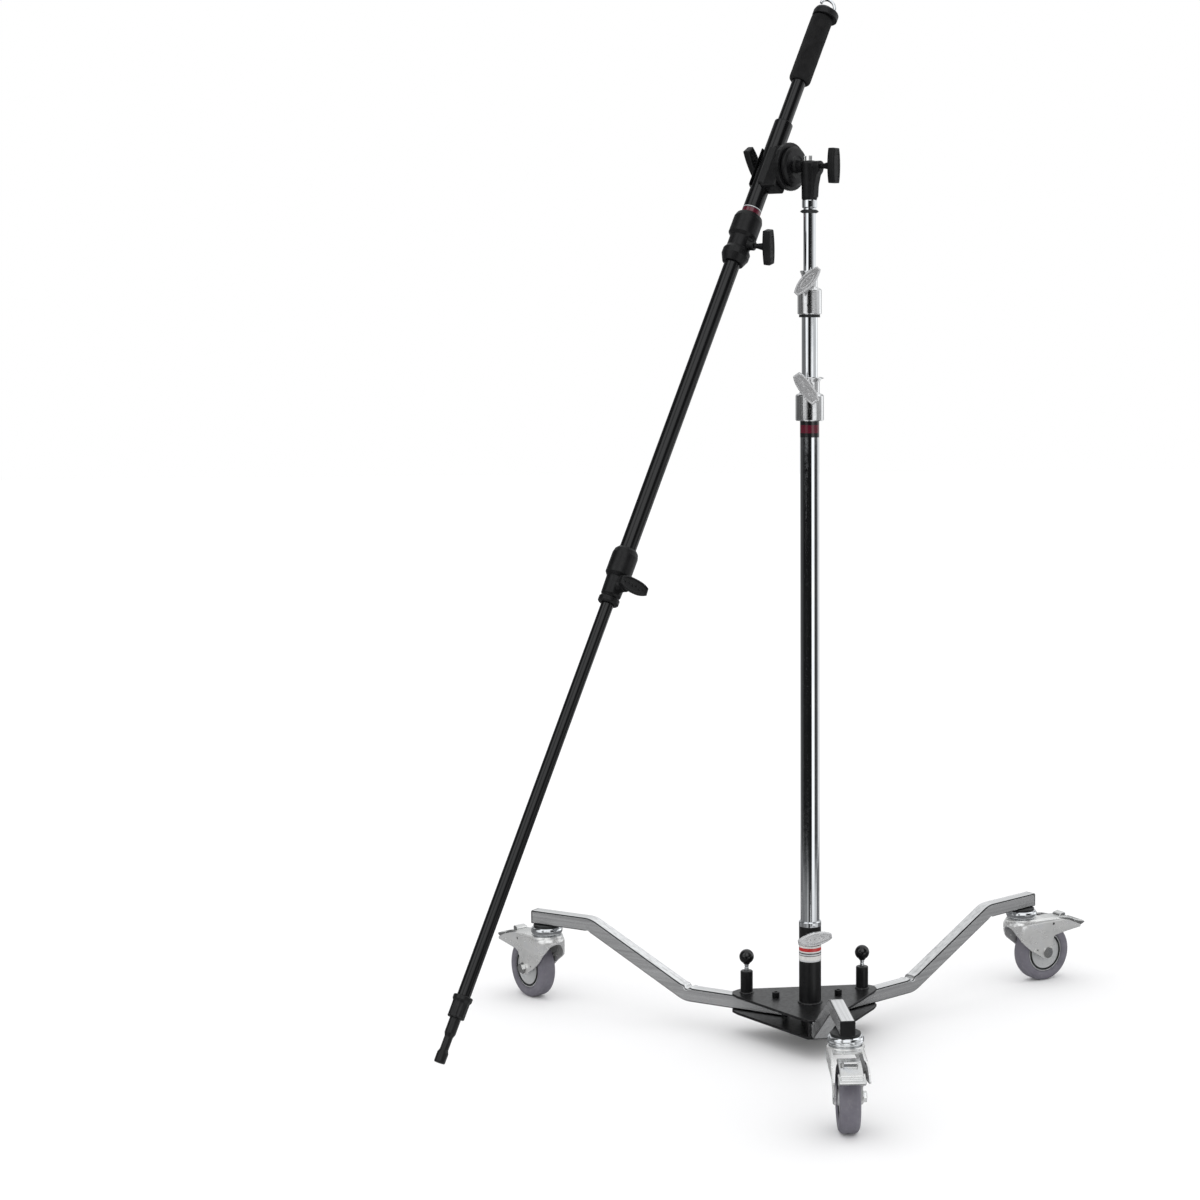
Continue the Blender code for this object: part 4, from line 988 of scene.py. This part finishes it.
extra(lathe("band", [(17.52, 158.0), (17.62, 158.0), (17.62, 133.0), (17.52, 133.0)], 96, True), "base_socket", ORIGIN, socket_band, "plastic", "socket_band")

show(pipe("mid", 12.5, 10.9, 165.0, 1182.5), "column_mid_tube", ORIGIN, CHROME)
z = 1148.7
collar = lathe("collar", [(10.05, z + 72.4, 0.3), (14.4, z + 72.4, 0.5), (15.0, z + 71.2, 0.5), (14.6, z + 70.0, 0.8), (12.6, z + 65.4, 2.0), (12.5, z + 46.6, 2.0), (17.0, z + 44.6, 1.4), (19.0, z + 42.4, 1.6), (19.0, z + 6.2, 0.8),
                          (18.2, z + 4.9, 0.5), (12.8, z + 4.9, 0.4), (12.8, 1182.8), (10.05, 1182.8)], 96, True)
boss = moved(lathe("boss", [(0, 19.0), (7.6, 19.0, 1.1), (7.8, 15.0, 1.0), (8.6, 11.4), (0, 11.4)], 48), turn(-103, "Z") @ shift(0, 0, 1204.5) @ turn(90, "Y"))
join(collar, boss)
cut(collar, screw_hole(255, 1167.3, 16.4, 21.0, 1.6))
show(collar, "column_upper_collar", ORIGIN, SATIN)
extra(plug(255, 1167.3, 17.2, 1.6), "column_upper_collar", ORIGIN, SEAL, "black", "column_upper_set_screw")
show(lathe("seal", [(12.8, z + 4.6, 0.2), (16.6, z + 4.6, 0.4), (16.6, z + 3.0, 0.5), (16.0, z + 2.3, 0.4), (16.6, z + 1.6, 0.5), (16.6, z, 0.6), (12.8, z, 0.3)], 80, True), "column_upper_seal", ORIGIN, SEAL)
show(lobed_knob("lens"), "column_upper_knob", facing(-103, 19.3, 1204.5, 48), KNOB)

top = lathe("top", [(0, 1374.0), (7.2, 1374.0, 0.4), (8.0, 1373.0, 0.5), (8.0, 1344.0, 0.3), (7.3, 1343.0, 0.4), (7.3, 1337.0, 0.4), (8.0, 1336.0, 0.3), (8.0, 1330.4), (11.2, 1330.4, 0.5), (11.8, 1329.4, 0.6), (11.8, 1319.2, 0.7), (10.9, 1318.0, 0.4),
                    (9.75, 1317.6), (9.75, 260.0, 0.4), (7.6, 260.0, 0.3), (7.6, 1300.0), (0, 1300.0)], 80)
show(top, "column_top_tube", ORIGIN, CHROME)
show(lathe("washer", [(10.05, 1315.4, 0.2), (11.5, 1315.4, 0.6), (14.2, 1313.2, 0.6), (14.2, 1311.6, 0.6), (10.05, 1309.8, 0.2)], 72, True), "spigot_washer", ORIGIN, SEAL)

# ---- head ----
body = lathe("receiver", [(0, 1391.2), (9.0, 1391.2, 1.6), (13.2, 1387.6, 3.0), (12.9, 1368, 6.0), (12.3, 1350, 4.0), (12.3, 1334.4, 0.6), (11.9, 1330.7, 0.5), (0, 1330.7)], 72)
cheek = loft("cheek", soften([(-8, 1334, 1), (-12.6, 1334, 2), (-13.8, 1352, 10), (-17.6, 1368, 8), (-22.4, 1374, 3), (-22.6, 1389, 2), (-8, 1389, 1)], True, 4),
             [(1.6, -7.5), (0.6, -7.0), (0, -6.0), (0, 6.0), (0.6, 7.0), (1.6, 7.5)], turn(90, "X"))
lug = moved(lathe("lug", [(0, -9), (8.6, -9), (8.6, -22.2, 0.8), (7.6, -23.0, 0.5), (0, -23.0)], 48), shift(0, 0, 1382.0) @ turn(90, "Y"))
stub = moved(lathe("stub", [(0, 26.5), (11.5, 26.5), (9.4, 21.0, 3.0), (9.0, 9.0), (0, 9.0)], 48), shift(0, 0, HEAD_Z) @ turn(90, "Y"))
disc = moved(lathe("disc", [(0, 33.0), (30.2, 33.0, 0.5), (31.0, 32.2, 0.6), (31.0, 26.9, 0.8), (27.0, 24.2, 2.0), (17.0, 23.4, 2.0), (15.6, 24.4, 0.8), (0, 24.4)], 96), shift(0, 0, HEAD_Z) @ turn(90, "Y"))
post_a = moved(rod("post", 2.7, 1386.0, 1399.0, 24, 0.9), shift(8.4, 0, 0))
post_b = moved(rod("post", 2.7, 1386.0, 1399.0, 24, 0.9), shift(-2.3, 0, 0))
receiver = join(body, cheek, lug, stub, disc)
soft_cast(receiver, 0.62, 5, 0.5)
cut(receiver, rod("bore", 8.3, 1320, 1374.6, 64, 0.0))
show(receiver, "receiver", PAN, CAST, sharp=44, weighted=False)
extra(post_a, "receiver", PAN, ZINC, "zinc", "receiver_post_front")
extra(post_b, "receiver", PAN, ZINC, "zinc", "receiver_post_back")
show(t_handle(), "receiver_handle", PAN @ shift(-23.3, 0, 1382.0) @ turn(-90, "Y"), MOULDED)

plate = lathe("disc", [(0, -39.6), (17.0, -39.6, 0.6), (18.0, -40.6, 0.6), (35.0, -39.6, 1.0), (37.0, -40.8, 1.0), (37.6, -42.0, 0.8), (37.6, -47.4, 0.8), (36.4, -48.6, 0.6), (0, -48.6)], 128,
              wave=lambda a, r, h: r - (0.35 * (0.5 - 0.5 * math.cos(a * 32)) if r > 37.2 else 0.0))
show(moved(plate, turn(90, "Y")), "friction_disc", TILT, CAST)
saddle = loft("saddle", brick(-39.2, -8, -13, 13, 3.0), [(3.0, -42), (1.0, -41.6), (0.2, -40.6), (0, -39), (0, 30), (0.2, 31.6), (1.0, 32.6), (3.0, 33)])
grip = lathe("grip", [(0, 29), (17.6, 29, 1.4), (19.0, 27.6, 1.4), (19.0, -36.6, 1.4), (17.6, -38, 1.4), (0, -38)], 80)
opening = loft("opening", brick(-6, 12, 8, 30, 0.0 + 1.0), [(0, -60), (0, 60)])
boss = moved(lathe("boss", [(0, 20.0), (7.2, 20.0, 0.8), (7.6, 15.0), (0, 15.0)], 40), shift(0, 0, 8.0) @ turn(90, "Y"))
join(saddle, grip)
cut(saddle, opening)
join(saddle, boss)
soft_cast(saddle, 0.62, 5, 0.5)
cut(saddle, rod("bore", 15.3, -60, 60, 96, 0.0))
show(saddle, "boom_cradle", TILT, CAST, sharp=44, weighted=False)
show(t_handle(10.5), "cradle_handle", TILT @ shift(20.3, 0, 8.0) @ turn(90, "Y") @ turn(-62.5, "Z"), MOULDED)

# ---- boom ----
show(pipe("outer", 15.0, 13.1, -150.0, 82.0), "boom_outer_tube", TILT, TUBE)
show(pipe("handle", 11.3, 9.6, 40.0, 286.0), "boom_handle_tube", TILT, TUBE)
extra(lathe("plug", [(11.35, 84.0, 0.3), (13.2, 84.0, 0.6), (14.9, 82.6, 0.6), (14.9, 82.05), (12.9, 82.05), (12.9, 60.0), (11.35, 60.0)], 72, True), "boom_outer_tube", TILT, MOULDED, "plastic", "boom_step_plug")


def foam_wave(a, r, z):
    if r < 12:
        return r
    p = Vector((math.cos(a) * 3.1, math.sin(a) * 3.1, z * 0.11))
    return r - 0.28 * (0.5 + 0.5 * noise.noise(p)) - 0.16 * (0.5 + 0.5 * noise.noise(p * 3.7))


rise = [(17.8, 280 - 112 * i / 44) for i in range(1, 44)]
grip = lathe("foam", [(11.35, 285.6, 0.4), (15.4, 285.6, 1.6), (17.4, 283.0, 2.4), (17.8, 280.0)] + rise + [(17.8, 168.0), (17.3, 165.0, 2.4), (15.2, 162.4, 1.6), (11.35, 162.4, 0.4)], 96, True, wave=foam_wave)
show(grip, "boom_grip", TILT, FOAM)

side_dir = Vector((-0.8, -0.6, 0.0))
cap = lathe("cap", [(0, 305.4), (9.0, 305.1, 3.0), (15.4, 302.0, 4.0), (17.7, 295.5, 3.0), (17.7, 286.4, 0.6), (0, 286.4)], 80)
flange = moved(lathe("flange", [(0, 299.0), (18.9, 299.0, 1.6), (20.6, 296.6, 1.6), (20.6, 286.4, 0.8), (0, 286.4)], 80), Matrix.Translation(side_dir * 3.4 * MM))
join(cap, flange)
soft_cast(cap, 0.55, 4, 0.5)
show(cap, "boom_end_cap", TILT, MOULDED, sharp=46, weighted=False)
hook_path = [(14.0, 298.8), (14.0, 306.5), (12.6, 311), (9.4, 316.4), (4.2, 319.8), (-1.6, 321.2), (-6.4, 319.5), (-9.6, 315.6), (-10.2, 312.6)]
show(sweep("hook", [(side_dir.x * r, side_dir.y * r, h) for r, h in hook_path], 2.65, 28), "boom_hook", TILT, CHROME, level=True)

collar = lathe("collar", [(15.3, -88.0, 0.3), (16.6, -88.0, 0.8), (20.6, -91.0, 2.5), (22.9, -98.0, 5.0), (22.9, -126.0, 1.6), (18.6, -131.0, 2.4), (18.4, -149.0, 2.4), (21.8, -155.0, 1.2), (21.8, -163.6, 1.6),
                          (16.6, -175.6, 0.6), (12.8, -175.6, 0.3), (12.8, -150.3), (15.3, -150.3)], 96, True)
boss = moved(lathe("boss", [(0, 27.0), (6.6, 27.0, 0.8), (7.6, 26.0, 0.8), (7.8, 20.0, 2.0), (9.6, 15.6), (0, 15.6)], 48), turn(192, "Z") @ shift(0, 0, -140.6) @ turn(90, "Y"))
join(collar, boss)
show(collar, "boom_collar_1", TILT, CAST)
show(t_handle(), "boom_collar_1_handle", TILT @ turn(192, "Z") @ shift(27.3, 0, -140.6) @ turn(90, "Y") @ turn(44, "Z"), MOULDED)
boom_band = band_look("look_band_boom", [(0.0, MAROON), (0.72, INK), (0.86, SILVER)], [(0.0, MAROON), (1.0, MAROON)], 3.0, 0.60, 0.50, -87.8, -77.8, 0.12)
extra(lathe("band", [(15.02, -77.8), (15.10, -77.8), (15.10, -87.8), (15.02, -87.8)], 96, True), "boom_outer_tube", TILT, boom_band, "black", "boom_band")

show(pipe("mid", 12.5, 10.6, -725.0, -60.0), "boom_mid_tube", TILT, TUBE)
collar = lathe("collar", [(12.8, -668.6, 0.3), (14.6, -668.6, 0.6), (17.8, -672.4, 1.8), (19.6, -679.0, 4.0), (19.6, -710.2, 1.4), (15.8, -715.8, 2.0), (15.1, -742.6, 1.6), (13.4, -745.8, 0.8),
                          (15.8, -748.6, 0.8), (15.8, -755.0, 0.8), (14.0, -757.0, 0.6), (9.8, -757.0, 0.3), (9.8, -725.3), (12.8, -725.3)], 96, True)
boss = moved(lathe("boss", [(0, 26.0), (8.6, 26.0, 0.9), (9.6, 25.0, 0.9), (9.6, 20.0, 2.0), (11.0, 14.2), (0, 14.2)], 48), turn(173, "Z") @ shift(0, 0, -727.0) @ turn(90, "Y"))
join(collar, boss)
show(collar, "boom_collar_2", TILT, CAST)
show(lobed_knob("wave"), "boom_collar_2_knob", TILT @ turn(173, "Z") @ shift(26.3, 0, -727.0) @ turn(90, "Y") @ turn(95, "Z"), MOULDED)

show(pipe("inner", 9.5, 7.9, -1354.0, -625.0), "boom_inner_tube", TILT, TUBE)


def fluted(a, r, z):
    return r - 0.75 * abs(math.sin(a * 6)) ** 1.5 if r > 11.6 and -1383.6 < z < -1363.5 else r


flutes = [(12.3, -1364.0 - 19.0 * i / 10) for i in range(11)]
pin = lathe("pin", [(0, -1354.3), (13.3, -1354.3, 0.4), (13.8, -1355.2, 0.5), (13.8, -1360.0, 0.6), (13.1, -1361.4, 0.5), (12.3, -1362.4)] + flutes + [(12.3, -1384.0, 0.4), (11.4, -1385.4, 0.6), (7.9, -1386.0, 0.8),
                    (7.9, -1407.0, 2.0), (6.0, -1412.0, 3.0), (6.0, -1430.0, 2.5), (7.9, -1434.6, 1.0), (7.9, -1447.4, 0.7), (7.0, -1448.6, 0.5), (0, -1448.6)], 144, wave=fluted)
show(pin, "boom_pin", TILT, POWDER, sharp=50, level=True)

# ---- stage: pale floor, a low grey card that only reflections see, soft light ----
def stage_plane(name, x0, x1, y0, y1, z):
    bm = bmesh.new()
    bm.faces.new([bm.verts.new(p) for p in ((x0, y0, z), (x1, y0, z), (x1, y1, z), (x0, y1, z))])
    return new_object(name, bm)


floor = stage_plane("floor", -14, 14, -14, 14, 0.0)
k = Look("stage_floor")
k.set(Base_Color=k.ramp(k.noise(1.5, 3), [(0.3, (0.90, 0.90, 0.90)), (0.7, (0.92, 0.92, 0.92))]), Roughness=0.9, Specular_IOR_Level=0.0)
floor.data.materials.append(k.mat)
floor.visible_glossy = False
card = stage_plane("low_card", -1.25, 1.25, -0.12, 1.5, 0.0006)
k = Look("stage_card")
k.set(Base_Color=(0.0, 0.0, 0.0), Roughness=1.0, Specular_IOR_Level=0.0, Emission_Color=k.ramp(k.noise(2.2, 2), [(0.35, (0.12, 0.122, 0.125)), (0.65, (0.22, 0.222, 0.225))]), Emission_Strength=1.0)
card.data.materials.append(k.mat)
card.visible_camera = card.visible_diffuse = card.visible_shadow = card.visible_transmission = False

world = bpy.data.worlds.new("studio")
bpy.context.scene.world = world
world.use_nodes = True
tree = world.node_tree
tree.nodes.clear()


def wnode(kind, **values):
    made = tree.nodes.new(kind)
    for key, value in values.items():
        setattr(made, key, value)
    return made


def wmath(how, a, b=0.0):
    made = wnode("ShaderNodeMath", operation=how)
    for slot, value in zip(made.inputs, (a, b)):
        if isinstance(value, (int, float)):
            slot.default_value = value
        else:
            tree.links.new(value, slot)
    return made.outputs[0]


def wrange(value, a, b, c, d, smooth=True):
    made = wnode("ShaderNodeMapRange")
    if smooth:
        made.interpolation_type = "SMOOTHSTEP"
    for key, number in (("From Min", a), ("From Max", b), ("To Min", c), ("To Max", d)):
        made.inputs[key].default_value = number
    tree.links.new(value, made.inputs["Value"])
    return made.outputs["Result"]


def wmix(factor, a, b):
    made = wnode("ShaderNodeMix", data_type="RGBA")
    for slot, value in ((made.inputs[0], factor), (made.inputs[6], a), (made.inputs[7], b)):
        if isinstance(value, tuple):
            slot.default_value = (*value, 1.0)
        else:
            tree.links.new(value, slot)
    return made.outputs[2]


def panels(turn_value, stops):
    """Soft boxes and dark gaps round the room: (azimuth in degrees, brightness)."""
    made = wnode("ShaderNodeValToRGB")
    made.color_ramp.interpolation = "LINEAR"
    placed = sorted((((a + 180.0) % 360.0) / 360.0, v) for a, v in stops)
    first, last = placed[0], placed[-1]
    gap = first[0] + 1.0 - last[0]
    edge = last[1] + (first[1] - last[1]) * (1.0 - last[0]) / gap if gap > 0 else last[1]
    placed = [(0.0, edge)] + [p for p in placed if 0.0 < p[0] < 1.0] + [(1.0, edge)]
    elements = made.color_ramp.elements
    while len(elements) < len(placed):
        elements.new(0.5)
    for element, (place, value) in zip(elements, placed):
        element.position = place
        element.color = (value * 0.985, value, value * 1.01, 1.0)
    tree.links.new(turn_value, made.inputs[0])
    return made.outputs[0]


coords = wnode("ShaderNodeTexCoord").outputs["Generated"]
split = wnode("ShaderNodeSeparateXYZ")
tree.links.new(coords, split.inputs[0])
azimuth_value = wrange(wmath("ARCTAN2", split.outputs[1], split.outputs[0]), -math.pi, math.pi, 0.0, 1.0, False)
height = split.outputs[2]
upper = panels(azimuth_value, [(60, 0.6), (108, 0.6), (138, 0.22), (160, 0.15), (186, 0.22), (203, 0.6), (211, 1.15), (234, 1.15), (242, 0.35), (250, 0.008), (284, 0.015), (300, 0.05), (318, 0.2), (334, 0.7), (352, 0.75), (368, 0.75), (378, 1.3), (394, 1.3), (402, 0.6)])
middle = panels(azimuth_value, [(60, 0.6), (108, 0.6), (138, 0.18), (157, 0.12), (174, 0.2), (190, 0.12), (204, 0.55), (212, 1.1), (231, 1.1), (241, 0.4), (250, 0.008), (272, 0.01), (283, 0.3), (293, 1.15), (305, 1.1), (318, 0.8), (331, 0.45), (347, 0.62), (368, 0.5), (378, 1.3), (394, 1.3), (402, 0.6)])
lower = panels(azimuth_value, [(60, 0.5), (108, 0.5), (134, 0.07), (172, 0.05), (186, 0.012), (276, 0.008), (284, 0.02), (289, 1.2), (315, 1.2), (324, 0.10), (334, 0.03), (346, 0.05), (357, 0.09), (372, 0.12), (380, 1.0), (394, 1.0), (402, 0.4)])
walls = wmix(wrange(height, -0.008, 0.008, 0.0, 1.0), wmix(wrange(height, -0.050, -0.036, 0.0, 1.0), lower, middle), upper)
base = panels(azimuth_value, [(60, 0.95), (84, 0.70), (100, 0.32), (134, 0.22), (150, 0.52), (178, 0.50), (194, 0.25), (222, 0.22), (236, 0.5), (252, 0.06), (278, 0.05), (292, 0.85), (316, 0.9), (326, 0.5), (338, 0.72), (366, 0.78), (382, 1.05), (412, 1.05)])
walls = wmix(wrange(height, -0.214, -0.234, 0.0, 1.0), walls, base)
gap = panels(azimuth_value, [(60, 0.6), (80, 0.86), (100, 0.6), (126, 0.05), (178, 0.04), (190, 0.9), (226, 0.95), (240, 0.05), (250, 0.9), (290, 0.9), (300, 0.05), (340, 0.04), (352, 0.9), (384, 0.9), (396, 0.06)])
walls = wmix(wrange(height, 0.16, 0.30, 0.0, 1.0), walls, gap)
ceiling = panels(azimuth_value, [(60, 1.05), (78, 0.9), (100, 0.75), (124, 0.7), (140, 0.08), (178, 0.05), (188, 1.3), (224, 1.3), (236, 0.05), (250, 1.35), (296, 1.35), (306, 0.05), (342, 0.05), (354, 1.25), (384, 1.25), (394, 0.25), (404, 0.95)])
walls = wmix(wrange(height, 0.40, 0.52, 0.0, 1.0), walls, ceiling)
walls = wmix(wrange(height, 0.86, 0.93, 0.0, 1.0), walls, (0.9, 0.91, 0.92))
ground = panels(azimuth_value, [(60, 0.4), (120, 0.12), (190, 0.12), (204, 0.85), (238, 0.85), (250, 0.10), (268, 0.10), (280, 0.85), (318, 0.85), (330, 0.12), (350, 0.5), (398, 0.7)])
walls = wmix(wrange(height, -0.36, -0.46, 0.0, 1.0), walls, ground)
soft = wmix(wrange(height, -0.2, 0.9, 0.0, 1.0), (1.04, 1.04, 1.04), (1.20, 1.20, 1.21))
rays = wnode("ShaderNodeLightPath")
seen = wmix(rays.outputs["Is Diffuse Ray"], walls, soft)
seen = wmix(rays.outputs["Is Camera Ray"], seen, (1.0, 1.0, 1.0))
background = wnode("ShaderNodeBackground")
tree.links.new(seen, background.inputs["Color"])
background.inputs["Strength"].default_value = 1.0
output = wnode("ShaderNodeOutputWorld")
tree.links.new(background.outputs[0], output.inputs["Surface"])
world.cycles.sampling_method = "NONE"

bpy.context.scene.view_settings.view_transform = "Standard"
bpy.context.scene.view_settings.look = "None"

# ---- camera ----
camera_data = bpy.data.cameras.new("camera")
camera = bpy.data.objects.new("camera", camera_data)
bpy.context.scene.collection.objects.link(camera)
yaw, pitch = math.radians(81.869), math.radians(-3.835)
forward = Vector((math.cos(yaw) * math.cos(pitch), math.sin(yaw) * math.cos(pitch), math.sin(pitch)))
right = forward.cross(Vector((0, 0, 1))).normalized()
up = right.cross(forward)
camera.matrix_world = Matrix(((right.x, up.x, -forward.x, -0.472416), (right.y, up.y, -forward.y, -3.766832), (right.z, up.z, -forward.z, 1.152833), (0, 0, 0, 1)))
camera_data.sensor_width = 36.0
camera_data.lens = 73.9867
camera_data.shift_x = -0.2
camera_data.shift_y = -0.1
camera_data.clip_end = 100.0
bpy.context.scene.camera = camera
